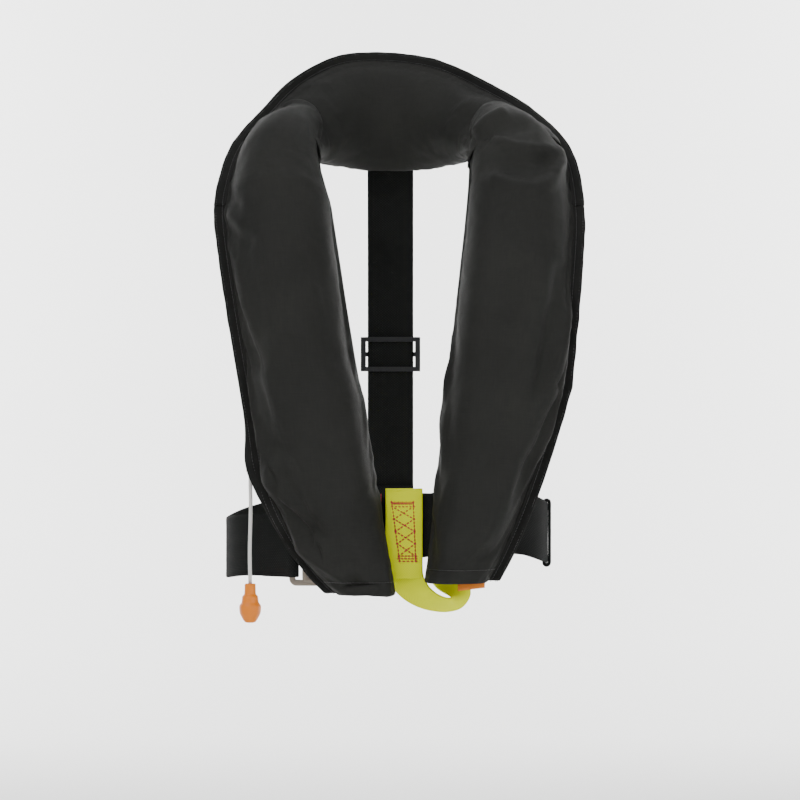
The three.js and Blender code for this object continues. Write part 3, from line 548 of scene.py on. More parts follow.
@dataclass(frozen=True)
class Cloth:
    """Woven polyester: two tones, thread spacing and how far it shines."""

    name: str
    deep: Colour
    lit: Colour
    thread: float = 0.0005
    rough: float = 0.7
    sheen: float = 0.0
    shine: float = 0.12
    bump: float = 0.35
    slub: float = 0.5

    def build(self, fx: EffectGroups) -> Material:
        """Makes the material."""
        s = new_surface(
            self.name,
            **{
                "Sheen Weight": self.sheen,
                "Sheen Roughness": 0.45,
                "Specular IOR Level": self.shine,
            },
        )
        weave = s.group(fx.weave, s.uv, Thread=self.thread, Slub=self.slub)
        marks = s.group(fx.mottle, s.place, Scale=14.0)
        tone = s.g.maths("MULTIPLY", s.g.maths("ADD", weave.outputs["Shade"], marks.outputs["Broad"]), 0.6)
        s.feed("Base Color", s.g.blend(tone, self.deep, self.lit))
        rough = s.g.range(marks.outputs["Fine"], self.rough - 0.07, self.rough + 0.08)
        s.feed("Roughness", rough)
        s.bump(weave.outputs["Height"], self.bump, 0.00012)
        return s.material


@dataclass(frozen=True)
class Webbing:
    """Ribbed webbing: two tones, the deep one painted as shade in the grooves between ribs and the lit one on their
    tops, and rib spacing.
    """

    name: str
    deep: Colour
    lit: Colour
    rib: float = 0.0016
    warp: float = 0.0012
    rough: float = 0.8
    sheen: float = 0.0
    bump: float = 0.6

    def build(self, fx: EffectGroups) -> Material:
        """Makes the material."""
        s = new_surface(
            self.name,
            **{
                "Sheen Weight": self.sheen,
                "Sheen Roughness": 0.4,
                "Specular IOR Level": 0.05,
            },
        )
        ribs = s.group(fx.ribs, s.uv, Rib=self.rib, Warp=self.warp)
        marks = s.group(fx.mottle, s.place, Scale=30.0)
        # Painted shade: the colour follows the ribs' relief, darker in the grooves, times a random broad tone.
        tone = s.g.maths("MULTIPLY", ribs.outputs["Shade"], s.g.range(marks.outputs["Broad"], 0.55, 1.25))
        s.feed("Base Color", s.g.blend(tone, self.deep, self.lit))
        s.feed("Roughness", s.g.range(marks.outputs["Fine"], self.rough - 0.08, self.rough + 0.1))
        s.bump(ribs.outputs["Height"], self.bump, 0.00025)
        return s.material


@dataclass(frozen=True)
class Plastic:
    """Moulded plastic or rubber with a fine grain."""

    name: str
    tone: Colour
    worn: Colour
    rough: float = 0.38
    coat: float = 0.0
    scatter: float = 0.0

    def build(self, fx: EffectGroups) -> Material:
        """Makes the material."""
        s = new_surface(
            self.name,
            **{
                "Coat Weight": self.coat,
                "Coat Roughness": 0.2,
                "Subsurface Weight": self.scatter,
                "Subsurface Scale": 0.004,
            },
        )
        grain = s.group(fx.grain, s.place, Scale=1500.0)
        marks = s.group(fx.mottle, s.place, Scale=60.0)
        tone = s.g.maths("MULTIPLY", marks.outputs["Broad"], 0.7)
        s.feed("Base Color", s.g.blend(tone, self.tone, self.worn))
        s.feed("Roughness", s.g.range(marks.outputs["Fine"], self.rough - 0.07, self.rough + 0.12))
        s.bump(grain.outputs["Height"], 0.12, 0.0001)
        return s.material


@dataclass(frozen=True)
class Steel:
    """Brushed or drawn metal with faint scuffs."""

    name: str
    tone: Colour
    dull: Colour
    rough: float = 0.3
    metal: float = 1.0

    def build(self, fx: EffectGroups) -> Material:
        """Makes the material."""
        s = new_surface(self.name, **{"Metallic": self.metal})
        grain = s.group(fx.grain, s.place, Scale=2500.0)
        marks = s.group(fx.mottle, s.place, Scale=45.0)
        s.feed("Base Color", s.g.blend(marks.outputs["Broad"], self.tone, self.dull))
        wear = s.g.maths("ADD", marks.outputs["Fine"], grain.outputs["Scuff"])
        s.feed("Roughness", s.g.range(wear, self.rough - 0.1, self.rough + 0.12))
        s.bump(grain.outputs["Scuff"], 0.15, 0.0001)
        return s.material


@dataclass(frozen=True)
class Thread:
    """Twisted sewing thread or braid, painted darker between its strands as painted shade; Pitch is the twist's length
    in metres.
    """

    name: str
    tone: Colour
    shade: Colour
    pitch: float = 0.0012

    def build(self, fx: EffectGroups) -> Material:
        """Makes the material."""
        s = new_surface(self.name, **{"Roughness": 0.6, "Sheen Weight": 0.3, "Sheen Roughness": 0.4})
        split = s.g.add("ShaderNodeSeparateXYZ", {0: s.uv})
        waves = []
        for lay in ("ADD", "SUBTRACT"):
            place = s.g.maths(lay, split.outputs[0], split.outputs[1])
            waves.append(s.g.maths("SINE", s.g.maths("MULTIPLY", place, 2 * math.pi / self.pitch)))
        braid = s.g.maths("ABSOLUTE", s.g.maths("MULTIPLY", waves[0], waves[1]))
        fuzz = s.group(fx.mottle, s.place, Scale=200.0)
        # Painted shade: darker in the grooves between strands, with random fuzz.
        tone = s.g.maths("MULTIPLY", s.g.maths("ADD", braid, fuzz.outputs["Fine"]), 0.6)
        s.feed("Base Color", s.g.blend(tone, self.shade, self.tone))
        s.bump(braid, 0.5, 0.0002)
        return s.material


@dataclass(frozen=True)
class Finishes:
    """Every finish of the jacket."""

    cover: Cloth = Cloth("cover_cloth", (0.009, 0.0092, 0.0088), (0.027, 0.027, 0.024))
    lining: Cloth = Cloth(
        "lining_cloth", (0.006, 0.007, 0.008), (0.020, 0.021, 0.022), thread=0.0011, rough=0.75, bump=0.6
    )
    band: Cloth = Cloth("band_cloth", (0.006, 0.006, 0.006), (0.019, 0.019, 0.017), thread=0.0008)
    bladder: Cloth = Cloth(
        "bladder_cloth", (0.70, 0.15, 0.004), (0.90, 0.27, 0.008), thread=0.0006, rough=0.4, shine=0.4,
        bump=0.2, slub=0.3,
    )
    hooks: Webbing = Webbing("hook_tape", (0.006, 0.006, 0.007), (0.020, 0.020, 0.022), 0.0014, 0.0014)
    belt: Webbing = Webbing("black_webbing", (0.006, 0.0065, 0.006), (0.021, 0.022, 0.021), 0.0022, 0.0013)
    keeper: Webbing = Webbing("elastic_webbing", (0.006, 0.006, 0.006), (0.022, 0.022, 0.022), 0.0010, 0.0030)
    lime: Webbing = Webbing(
        "lime_webbing", (0.60, 0.68, 0.0), (0.92, 0.97, 0.0), 0.0013, 0.0010, rough=0.65, bump=0.45
    )
    steel: Steel = Steel("stainless_steel", (0.34, 0.29, 0.235), (0.23, 0.20, 0.165), rough=0.4)
    zinc: Steel = Steel("cylinder_steel", (0.74, 0.75, 0.76), (0.58, 0.60, 0.62), rough=0.33, metal=0.9)
    black: Plastic = Plastic("black_plastic", (0.012, 0.012, 0.013), (0.028, 0.028, 0.030))
    rubber: Plastic = Plastic("black_rubber", (0.009, 0.009, 0.009), (0.022, 0.022, 0.022), rough=0.6)
    orange: Plastic = Plastic("orange_plastic", (0.80, 0.19, 0.0), (0.86, 0.25, 0.0), rough=0.42)
    red: Plastic = Plastic("red_plastic", (0.52, 0.02, 0.012), (0.62, 0.05, 0.03))
    green: Plastic = Plastic("green_plastic", (0.02, 0.29, 0.06), (0.05, 0.36, 0.10))
    cord: Thread = Thread("white_cord", (0.84, 0.82, 0.78), (0.55, 0.53, 0.50), pitch=0.0022)
    red_thread: Thread = Thread("red_thread", (0.60, 0.004, 0.035), (0.40, 0.002, 0.02))
    black_thread: Thread = Thread("black_thread", (0.017, 0.017, 0.017), (0.008, 0.008, 0.008))


class Paint:
    """Builds each finish once and puts it on pieces."""

    def __init__(self) -> None:
        """Starts with the shared groups and no materials."""
        self.fx = EffectGroups()
        self.finishes = Finishes()
        self.made: dict[str, Material] = {}

    def get(self, key: str) -> Material:
        """The material of a finish, built when first asked for."""
        if key not in self.made:
            self.made[key] = getattr(self.finishes, key).build(self.fx)
        return self.made[key]

    def dress(self, piece: Piece, key: str) -> Piece:
        """Gives a piece one finish all over."""
        piece.data.materials.clear()
        piece.data.materials.append(self.get(key))
        return piece

    def dress_node(self, node: str, key: str, edge: float = 0.0) -> None:
        """Gives a CAD node its finish and, if asked, softened edges."""
        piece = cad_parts[node]
        piece.data.materials.clear()
        piece.data.materials.append(self.get(key))
        if edge:
            soften_edges(piece, edge)


# ---- geometry nodes ----


def geometry_group(name: str, inputs: Titles) -> tuple[Tree, Graph, Node]:
    """A geometry tree with a Geometry input and output and further named inputs."""
    tree = bpy.data.node_groups.new(name, "GeometryNodeTree")
    tree.interface.new_socket(name="Geometry", in_out="INPUT", socket_type="NodeSocketGeometry")
    for title, kind, value in inputs:
        socket = tree.interface.new_socket(name=title, in_out="INPUT", socket_type=kind)
        if value is not None:
            socket.default_value = value
    tree.interface.new_socket(name="Geometry", in_out="OUTPUT", socket_type="NodeSocketGeometry")
    g = Graph(tree)
    return tree, g, g.add("NodeGroupInput")


def plant(
    g: Graph, start: Node, points: Socket, shape: Node, size: Sequence[Socket], way: Socket, stray: float, axis: str
) -> Socket:
    """Sets a copy of a shape on each point, turned nearly one way.

    Args:
        g: The tree's graph.
        start: The tree's input node, with a Seed.
        points: Where the copies stand.
        shape: The node that makes the shape.
        size: The shape's three scales.
        way: The direction that the copies face.
        stray: How far each copy's direction may wander.
        axis: The shape's own axis that faces that way.

    Returns:
        The instances.
    """
    scale = g.add("ShaderNodeCombineXYZ", dict(enumerate(size)))
    shaped = g.add("GeometryNodeTransform", {"Geometry": shape.outputs["Mesh"], "Scale": scale.outputs[0]})
    span = {"Min": (-stray,) * 3, "Max": (stray,) * 3, "Seed": start.outputs["Seed"]}
    wander = g.add("FunctionNodeRandomValue", span, data_type="FLOAT_VECTOR")
    aim = g.add("ShaderNodeVectorMath", {0: way, 1: wander.outputs[0]}, operation="ADD")
    turn = g.add("FunctionNodeAlignRotationToVector", {"Vector": aim.outputs[0]}, axis=axis)
    inputs = {"Points": points, "Instance": shaped.outputs[0], "Rotation": turn.outputs[0]}
    return g.add("GeometryNodeInstanceOnPoints", inputs).outputs[0]


def dye_and_end(g: Graph, start: Node, shapes: Socket) -> None:
    """Makes the instances real, gives them the Finish and ends the tree."""
    real = g.add("GeometryNodeRealizeInstances", {0: shapes})
    finish = {"Geometry": real.outputs[0], "Material": start.outputs["Finish"]}
    g.add("NodeGroupOutput", {0: g.add("GeometryNodeSetMaterial", finish).outputs[0]})


def run_tree(carrier: Piece, tree: Tree, values: dict[str, object]) -> Piece:
    """Runs a geometry tree on a carrier and keeps the result as a plain mesh.

    Args:
        carrier: The object whose mesh the tree reads; it becomes the result.
        tree: The geometry tree.
        values: The named inputs.

    Returns:
        The carrier, now holding the made mesh and no modifier.
    """
    modifier = carrier.modifiers.new("Pattern", "NODES")
    modifier.node_group = tree
    known = {item.name: item.identifier for item in tree.interface.items_tree if item.in_out == "INPUT"}
    for key, value in values.items():
        modifier[known[key]] = value
    apply_modifiers(carrier)
    carrier.data.polygons.foreach_set("use_smooth", [True] * len(carrier.data.polygons))
    return carrier


class StitchMachine:
    """Sews rows of thread along lines, with a geometry tree."""

    def __init__(self, paint: Paint) -> None:
        """Builds the tree."""
        self.paint = paint
        self.tree = self._tree()

    @staticmethod
    def _tree() -> Tree:
        """Rounded stitches at an even pitch along the carrier's edges."""
        tree, g, start = geometry_group(
            "sewn_row",
            [
                ("Pitch", "NodeSocketFloat", 0.003),
                ("Stitch", "NodeSocketFloat", 0.0024),
                ("Thread", "NodeSocketFloat", 0.0004),
                ("Seed", "NodeSocketInt", 3),
                ("Finish", "NodeSocketMaterial", None),
            ],
        )
        line = g.add("GeometryNodeMeshToCurve", {"Mesh": start.outputs["Geometry"]})
        gaps = {"Curve": line.outputs[0], "Length": start.outputs["Pitch"]}
        spaced = g.add("GeometryNodeResampleCurve", gaps, mode="LENGTH")
        bead = g.add("GeometryNodeMeshUVSphere", {"Segments": 6, "Rings": 5, "Radius": 1.0})
        half = g.maths("MULTIPLY", start.outputs["Stitch"], 0.5)
        thread = start.outputs["Thread"]
        tangent = g.add("GeometryNodeInputTangent").outputs[0]
        stitches = plant(g, start, spaced.outputs[0], bead, (half, thread, thread), tangent, 0.06, "X")
        dye_and_end(g, start, stitches)
        return tree

    def sew(
        self, name: str, lines: Sequence[Array], finish: str, pitch: float, stitch: float, thread: float, seed: int = 3
    ) -> Piece:
        """Sews along polylines.

        Args:
            name: The piece's name.
            lines: Polylines in millimetres.
            finish: The thread's finish.
            pitch: Distance between stitches.
            stitch: Length of one stitch.
            thread: Radius of the thread.
            seed: Fixes the small wander of the stitches.

        Returns:
            The stitches as one mesh.
        """
        verts = np.concatenate([np.asarray(line) for line in lines])
        edges, start = [], 0
        for line in lines:
            edges += [(start + i, start + i + 1) for i in range(len(line) - 1)]
            start += len(line)
        mesh = bpy.data.meshes.new(name)
        mesh.from_pydata((verts * MM).tolist(), edges, [])
        carrier = bpy.data.objects.new(name, mesh)
        link(carrier)
        values = {
            "Pitch": pitch * MM,
            "Stitch": stitch * MM,
            "Thread": thread * MM,
            "Seed": seed,
            "Finish": self.paint.get(finish),
        }
        run_tree(carrier, self.tree, values)
        carrier.data.uv_layers.new(name="UVMap")
        return carrier


class PileMaker:
    """Stands the small hooks of a closure tape on its face, with a geometry tree."""

    def __init__(self, paint: Paint) -> None:
        """Builds the tree."""
        self.paint = paint
        self.tree = self._tree()

    @staticmethod
    def _tree() -> Tree:
        """Short bent bristles scattered over the carrier's faces, kept with the carrier."""
        tree, g, start = geometry_group(
            "closure_pile",
            [
                ("Density", "NodeSocketFloat", 250000.0),
                ("Height", "NodeSocketFloat", 0.0008),
                ("Seed", "NodeSocketInt", 5),
                ("Finish", "NodeSocketMaterial", None),
            ],
        )
        dots = g.add(
            "GeometryNodeDistributePointsOnFaces",
            {
                "Mesh": start.outputs["Geometry"],
                "Density": start.outputs["Density"],
                "Seed": start.outputs["Seed"],
            },
        )
        hook = g.add(
            "GeometryNodeMeshCone", {"Vertices": 4, "Radius Top": 0.25, "Radius Bottom": 0.4, "Depth": 1.0}
        )
        size = (start.outputs["Height"],) * 3
        hooks = plant(g, start, dots.outputs["Points"], hook, size, dots.outputs["Normal"], 0.5, "Z")
        both = g.add("GeometryNodeJoinGeometry", {0: hooks})
        g.tree.links.new(start.outputs["Geometry"], both.inputs[0])
        dye_and_end(g, start, both.outputs[0])
        return tree

    def cover(self, tape: Piece, finish: str, density: float, height: float, seed: int) -> Piece:
        """Adds the pile to a tape; density is per square metre and height in millimetres."""
        values = {"Density": density, "Height": height * MM, "Seed": seed, "Finish": self.paint.get(finish)}
        return run_tree(tape, self.tree, values)


# ---- the horseshoe's rule ----


@dataclass(frozen=True)
class Station:
    """A cut across the horseshoe: inner edge a, outer edge b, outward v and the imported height."""

    a: Array
    b: Array
    v: Array
    crown: float

    @property
    def width(self) -> float:
        """Distance from the inner edge to the outer one."""
        return float(np.linalg.norm(self.b - self.a))

    def at(self, across: float, height: float) -> Array:
        """The point at a distance from the inner edge and a height off the panel."""
        return self.a + unit(self.b - self.a) * across + self.v * height


CHEST_Y = -101.0
CHEST_TOP_Z = -140.0
LOBE_TOP_Z = -45.0
SHOULDER_LEAN = 29.0
LOBE_CROWN = 48.0
HEM_CROWN = 26.0
COLLAR_CROWN = 36.0
BAND_WIDTH = 9.0
BAND_HEIGHT = 2.5
INNER_FOOT = 2.0
OUTER_FOOT = 5.0
PEEL_DROP = 45.0
STRAIGHT_SHARE = 0.7
INNER_POWER = 2.4
OUTER_POWER = 1.9


CORNER_SLOPE = 0.22
CORNER_REACH = 14.0


def corner_ease(distance: float) -> float:
    """How far the outline is drawn in at a distance from the shoulder's corner, to round it."""
    return CORNER_SLOPE * (math.hypot(distance, CORNER_REACH) - distance)


def shoulder_lean(z: float) -> float:
    """How far the lobes have leaned back at a height, 0 on the chest to 1 at their tops."""
    return max(0.0, (z - CHEST_TOP_Z) / (LOBE_TOP_Z - CHEST_TOP_Z))


def panel_y(z: float) -> float:
    """The back panel's depth at a height."""
    return CHEST_Y + SHOULDER_LEAN * shoulder_lean(z) ** 2


def panel_out(z: float) -> Array:
    """The direction off the back panel at a height."""
    return unit(point(0, -1, 2 * SHOULDER_LEAN * shoulder_lean(z) / (LOBE_TOP_Z - CHEST_TOP_Z)))


@dataclass(frozen=True)
class Lobe:
    """One front lobe's outline in the x-z plane."""

    name: str
    side: int
    hem_z: float
    inner_top: float
    inner_hem: float
    outer_top: float
    bend: tuple[float, float]
    corner: tuple[float, float]
    hem_x: float

    def inner_x(self, z: float) -> float:
        """The inner edge at a height."""
        return mix(self.inner_top, self.inner_hem, (LOBE_TOP_Z - z) / (LOBE_TOP_Z - self.hem_z))

    def outer(self, share: float) -> tuple[float, float]:
        """The outer edge: straight for its first share, then one curve to the hem."""
        if share <= STRAIGHT_SHARE:
            t = share / STRAIGHT_SHARE
            return mix(self.outer_top, self.bend[0], t), mix(LOBE_TOP_Z, self.bend[1], t)
        t = (share - STRAIGHT_SHARE) / 0.3
        weights = ((1 - t) ** 2, 2 * t * (1 - t), t * t)
        x = weights[0] * self.bend[0] + weights[1] * self.corner[0] + weights[2] * self.hem_x
        z = weights[0] * self.bend[1] + weights[1] * self.corner[1] + weights[2] * self.hem_z
        return x, z

    def station(self, share: float) -> Station:
        """The cut at a share of the outer edge."""
        x, z = self.outer(share)
        drop = min(1.0, max(0.0, (self.bend[1] - z) / (self.bend[1] - self.hem_z)))
        crown = mix(LOBE_CROWN, HEM_CROWN, drop**1.5)
        x -= self.side * corner_ease(LOBE_TOP_Z - z)
        return Station(point(self.inner_x(z), panel_y(z), z), point(x, panel_y(z), z), panel_out(z), crown)

    def share_at(self, z: float) -> float:
        """The share of the outer edge at a height."""
        low, high = 0.0, 1.0
        for _ in range(30):
            middle = (low + high) / 2
            low, high = (middle, high) if self.outer(middle)[1] > z else (low, middle)
        return low

    def peel(self) -> tuple[Array, Array]:
        """The flap's hinge line: its top point and the direction across it, away from the neck."""
        top_z = LOBE_TOP_Z - PEEL_DROP
        top_x = mix(self.outer_top, self.bend[0], PEEL_DROP / (LOBE_TOP_Z - self.bend[1]))
        along = unit(point(self.inner_hem - top_x, 0, self.hem_z - top_z))
        return point(top_x, 0, top_z), point(-along[2] * self.side, 0, along[0] * self.side)


RIGHT = Lobe("right", -1, -354, -47, 3.5, -145, (-110, -250), (-94, -316), -52)
LEFT = Lobe("left", 1, -344, 62, 28, 160, (146, -190), (116, -298), 88)
COLLAR_TOP = 101.0
COLLAR_BACK = 98.0
TOP_Y = panel_y(LOBE_TOP_Z)
INNER_NECK = [
    point(-47, TOP_Y, LOBE_TOP_Z),
    point(-57, -42, -12),
    point(-66, 8, 0),
    point(-60, 52, 1),
    point(-34, 84, 1),
    point(0, COLLAR_BACK - 4, 0),
    point(32, 84, 1),
    point(60, 52, 1),
    point(68, 8, 0),
    point(65, -42, -12),
    point(62, TOP_Y, LOBE_TOP_Z),
]
OUTER_NECK = [
    point(-145, TOP_Y, LOBE_TOP_Z),
    point(-133, -34, 2),
    point(-110, 12, COLLAR_TOP * 0.4),
    point(-84, 54, COLLAR_TOP * 0.73),
    point(-46, 87, COLLAR_TOP * 0.96),
    point(-4, COLLAR_BACK, COLLAR_TOP),
    point(40, 87, COLLAR_TOP * 0.93),
    point(84, 54, COLLAR_TOP * 0.7),
    point(122, 12, COLLAR_TOP * 0.4),
    point(150, -34, 2),
    point(160, TOP_Y, LOBE_TOP_Z),
]
LOBE_LEAN = panel_out(LOBE_TOP_Z)


def collar_station(t: float) -> Station:
    """The cut at a share of the way round the neck, from the right lobe to the left."""
    t = min(1.0, max(0.0, t))
    a, b = catmull(INNER_NECK, t), catmull(OUTER_NECK, t)
    right, left = (corner_ease(float(np.linalg.norm(b - end))) for end in (OUTER_NECK[0], OUTER_NECK[-1]))
    b = b + ALONG_X * (right - left)
    t0, t1 = max(0.0, t - 0.004), min(1.0, t + 0.004)
    along = unit(catmull(INNER_NECK, t1) - catmull(INNER_NECK, t0))
    along = along + unit(catmull(OUTER_NECK, t1) - catmull(OUTER_NECK, t0))
    v = unit(np.cross(along, b - a))
    near = min(t, 1 - t)
    crown = mix(LOBE_CROWN, COLLAR_CROWN, min(1.0, near * 4))
    return Station(a, b, unit(mix(LOBE_LEAN, v, min(1.0, near * 8))), crown)


def arch(station: Station, columns: int, feet: tuple[float, float], crown: float) -> Array:
    """The cover's line across a cut, at even distances along the cloth.

    Args:
        station: The cut.
        columns: Number of points.
        feet: Heights of the inner and outer feet.
        crown: Height of the middle.

    Returns:
        The points, from the inner foot to the outer.
    """
    half = (station.width - BAND_WIDTH - 0.4) / 2
    angles = np.linspace(0, math.pi, 121)
    c, s = np.cos(angles), np.sin(angles)
    foot = mix(feet[0], feet[1], angles / math.pi)
    power = np.where(c > 0, INNER_POWER, OUTER_POWER)
    u = half - half * np.sign(c) * np.abs(c) ** (2 / power)
    h = foot + (crown - foot) * np.maximum(s, 0) ** (2 / power)
    line = even(np.column_stack([u, h]), columns - 1)
    across = unit(station.b - station.a)
    return station.a + np.outer(line[:, 0], across) + np.outer(line[:, 1], station.v)


# ---- covers ----


@dataclass(frozen=True)
class Fold:
    """A soft ridge or hollow on the cloth, drawn as a line seen from the front.

    The line's points are (x, z); lift is positive for a ridge and negative for a hollow.
    """

    line: tuple[tuple[float, float], ...]
    width: float
    lift: float

    def height(self, x: Array, z: Array) -> Array:
        """The fold's lift at places seen from the front."""
        best = np.full(len(x), 1e9)
        for (x0, z0), (x1, z1) in zip(self.line, self.line[1:]):
            dx, dz = x1 - x0, z1 - z0
            t = np.clip(((x - x0) * dx + (z - z0) * dz) / (dx * dx + dz * dz), 0, 1)
            best = np.minimum(best, (x - x0 - t * dx) ** 2 + (z - z0 - t * dz) ** 2)
        return self.lift * np.exp(-best / self.width**2)


@dataclass
class ClothRun:
    """A short, fixed cloth simulation that lets a cover find its own creases."""

    frames: int = 20
    pressure: float = 1.4
    growth: float = 0.018
    out_cap: float = 5.0
    in_cap: float = 3.0
    seed: float = 4.0

    def settle(self, piece: Piece, held: Array) -> Array:
        """Simulates a copy of the piece.

        Args:
            piece: The cover before it has thickness.
            held: Each point's share of being held, 0 to 1.

        Returns:
            How far each point moved, in metres, capped.
        """
        rest = spots_of(piece)
        trial = piece.copy()
        trial.data = piece.data.copy()
        link(trial)
        start = rest.copy()
        for i, (x, y, z) in enumerate(rest * 28.0):
            start[i] += np.array([ripple(x, z, self.seed + k) for k in range(3)]) * 0.0011 * (1 - held[i])
        trial.data.vertices.foreach_set("co", start.astype(np.float32).ravel())
        group = trial.vertex_groups.new(name="held")
        for i, share in enumerate(held):
            if share > 0:
                group.add([i], float(share), "REPLACE")
        cloth = trial.modifiers.new("Cloth", "CLOTH")
        settings = cloth.settings
        settings.quality = 6
        settings.mass = 0.12
        settings.tension_stiffness = settings.compression_stiffness = 22
        settings.shear_stiffness = 6
        settings.bending_stiffness = 0.9
        settings.shrink_min = -self.growth
        settings.vertex_group_mass = "held"
        settings.use_pressure = True
        settings.uniform_pressure_force = self.pressure
        settings.effector_weights.gravity = 0.35
        scene = bpy.context.scene
        cloth.point_cache.frame_start, cloth.point_cache.frame_end = 1, self.frames
        for number in range(1, self.frames + 1):
            scene.frame_set(number)
        graph = bpy.context.evaluated_depsgraph_get()
        shaped = trial.evaluated_get(graph).to_mesh()
        moved = np.array([v.co for v in shaped.vertices]) - rest
        bpy.data.objects.remove(trial)
        scene.frame_set(1)
        normals = normals_of(piece)
        off = (moved * normals).sum(axis=1)
        length = np.linalg.norm(moved, axis=1)
        cap = np.where(off > 0, self.out_cap, self.in_cap) * MM
        return moved * (np.minimum(length, cap) / np.maximum(length, 1e-9))[:, None]


@dataclass
class CoverPiece:
    """One packed cover: a grid of cloth from the inner foot to the outer foot."""

    name: str
    rows: list[Array]
    folds: tuple[Fold, ...]
    run: ClothRun
    held_rows: tuple[int, ...] = ()
    hem: bool = True
    pucker: float = 0.45
    depth: float = 1.3
    flip: bool = False
    wall: float = 1.3
    clear_of: tuple[str, ...] = ()

    def build(self, paint: Paint) -> Piece:
        """Builds, settles, folds and thickens the cover."""
        rows = self.rows
        columns = len(rows[0])
        if self.hem:
            rows = rows + self._turned_hem(rows)
        grid = np.array(rows)
        across = np.linalg.norm(np.diff(grid, axis=1), axis=2)
        u = np.concatenate([np.zeros((len(rows), 1)), np.cumsum(across, axis=1)], axis=1)
        along = np.linalg.norm(np.diff(grid[:, columns // 2], axis=0), axis=1)
        v = np.concatenate([[0], np.cumsum(along)])[:, None] + np.zeros((1, columns))
        uvs = np.stack([u, v], axis=2).reshape(-1, 2) * MM
        verts = grid.reshape(-1, 3)
        piece = make_piece(self.name, verts, grid_faces(len(rows), columns, self.flip), uvs)
        held = np.zeros((len(rows), columns))
        held[:, [0, -1]] = 1.0
        held[:, [1, -2]] = 0.5
        for row in self.held_rows:
            held[row] = 1.0
        if self.hem:
            held[-4:] = np.maximum(held[-4:], 0.85)
        move_to(piece, spots_of(piece) + self.run.settle(piece, held.ravel()))
        self._crease(piece, u.ravel(), v.ravel(), u.max(axis=1).repeat(columns), held.ravel())
        for node in self.clear_of:
            self._clear(piece, node, columns)
        finish_cloth(piece, self.wall)
        outward_wall(piece)
        return paint.dress(piece, "cover")

    @staticmethod
    def _turned_hem(rows: list[Array]) -> list[Array]:
        """Rows that carry the cloth round its lower edge and back up inside."""
        last, before = rows[-1], rows[-2]
        down = np.array([unit(p - q) for p, q in zip(last, before)])
        middle = last.mean(axis=0)
        inward = np.array([unit(middle - p) for p in last])
        return [
            last + down * 1.4 + inward * 0.8,
            last + down * 1.6 + inward * 2.2,
            last + down * 0.2 + inward * 3.2,
            last - down * 9.0 + inward * 3.6,
        ]

    def _clear(self, piece: Piece, node: str, columns: int) -> None:
        """Lifts the cloth off a hard part packed under it, in one soft swell."""
        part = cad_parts[node].data
        faces = [face.vertices for face in part.polygons]
        need = np.zeros(len(piece.data.vertices))
        for angle in LEVER_SWING if node == "firing_lever" else (0.0,):
            swing = Matrix.Rotation(math.radians(angle), 4, "Y")
            turn = Matrix.Translation(LEVER_PIVOT) @ swing @ Matrix.Translation(-LEVER_PIVOT)
            tree = BVHTree.FromPolygons([turn @ v.co for v in part.vertices], faces)
            for i, vertex in enumerate(piece.data.vertices):
                spot, normal, _, gap = tree.find_nearest(vertex.co, 0.03)
                if spot is not None:
                    depth = gap if (vertex.co - spot).dot(normal) > 0 else -gap
                    need[i] = max(need[i], (self.wall + 1.0) * MM - depth)
        if not need.any():
            return
        need = need.reshape(-1, columns)
        lift = need.copy()
        for _ in range(160):
            padded = np.pad(lift, 1, mode="edge")
            around = (padded[:-2, 1:-1] + padded[2:, 1:-1] + padded[1:-1, :-2] + padded[1:-1, 2:]) / 4
            lift = np.maximum(need, 0.985 * around)
            lift[:, [0, -1]] = 0.0
        move_to(piece, spots_of(piece) + normals_of(piece) * lift.reshape(-1, 1))

    def _crease(self, piece: Piece, u: Array, v: Array, span: Array, held: Array) -> None:
        """Adds the drawn folds, seam puckers and fine crumple along the cloth's normal."""
        rest, normals = spots_of(piece), normals_of(piece)
        x, z = rest[:, 0] / MM, rest[:, 2] / MM
        lift = np.zeros(len(rest))
        for fold in self.folds:
            lift += self.depth * fold.height(x, z)
        from_seam = span - u
        for i in range(len(rest)):
            near = math.exp(-(from_seam[i] / 13.0)) + 0.6 * math.exp(-(u[i] / 10.0))
            lift[i] += self.pucker * near * 1.5 * ripple(v[i] / 7.5, u[i] / 60.0, 2.0)
            lift[i] += 1.1 * ripple(u[i] / 34.0, v[i] / 62.0, 7.0)
            lift[i] += 0.45 * ripple(u[i] / 11.0, v[i] / 17.0, 9.0)
        facing = np.where(normals[:, 1] > 0.3, 0.5, 1.0)
        lift *= facing * (1 - 0.75 * held)
        move_to(piece, rest + normals * lift[:, None] * MM)


def outward_wall(piece: Piece) -> None:
    """Turns a thickened sheet right side out if its volume is negative."""
    work = bmesh.new()
    work.from_mesh(piece.data)
    if work.calc_volume(signed=True) < 0:
        bmesh.ops.reverse_faces(work, faces=work.faces)
    work.to_mesh(piece.data)
    work.free()


LEVER_PIVOT = Vector((-0.0745, -0.124, -0.254))
LEVER_SWING = (0.0, -15.0, -30.0, -45.0, -60.0)
FIRST_ROWS = (0, 1)
LAST_ROWS = (-1, -2)
RIGHT_FOLDS = (
    Fold(((-132, -48), (-120, -60)), 5, 2.2),
    Fold(((-128, -66), (-112, -74)), 6, -2.0),
    Fold(((-134, -30), (-122, -44)), 4, -1.8),
    Fold(((-118, -84), (-106, -120), (-104, -170)), 9, -2.6),
    Fold(((-60, -88), (-48, -120), (-40, -165)), 13, -2.4),
    Fold(((-92, -70), (-84, -140), (-82, -220)), 16, 1.6),
    Fold(((-84, -288), (-70, -296), (-62, -302)), 10, -3.6),
    Fold(((-58, -306), (-40, -318), (-30, -334)), 11, -3.8),
    Fold(((-72, -318), (-50, -330), (-34, -340)), 5, 2.6),
    Fold(((-30, -346), (-18, -352)), 4, -3.0),
    Fold(((-12, -280), (-4, -330), (-2, -352)), 6, 2.0),
    Fold(((-30, -200), (-20, -260)), 14, 1.6),
)
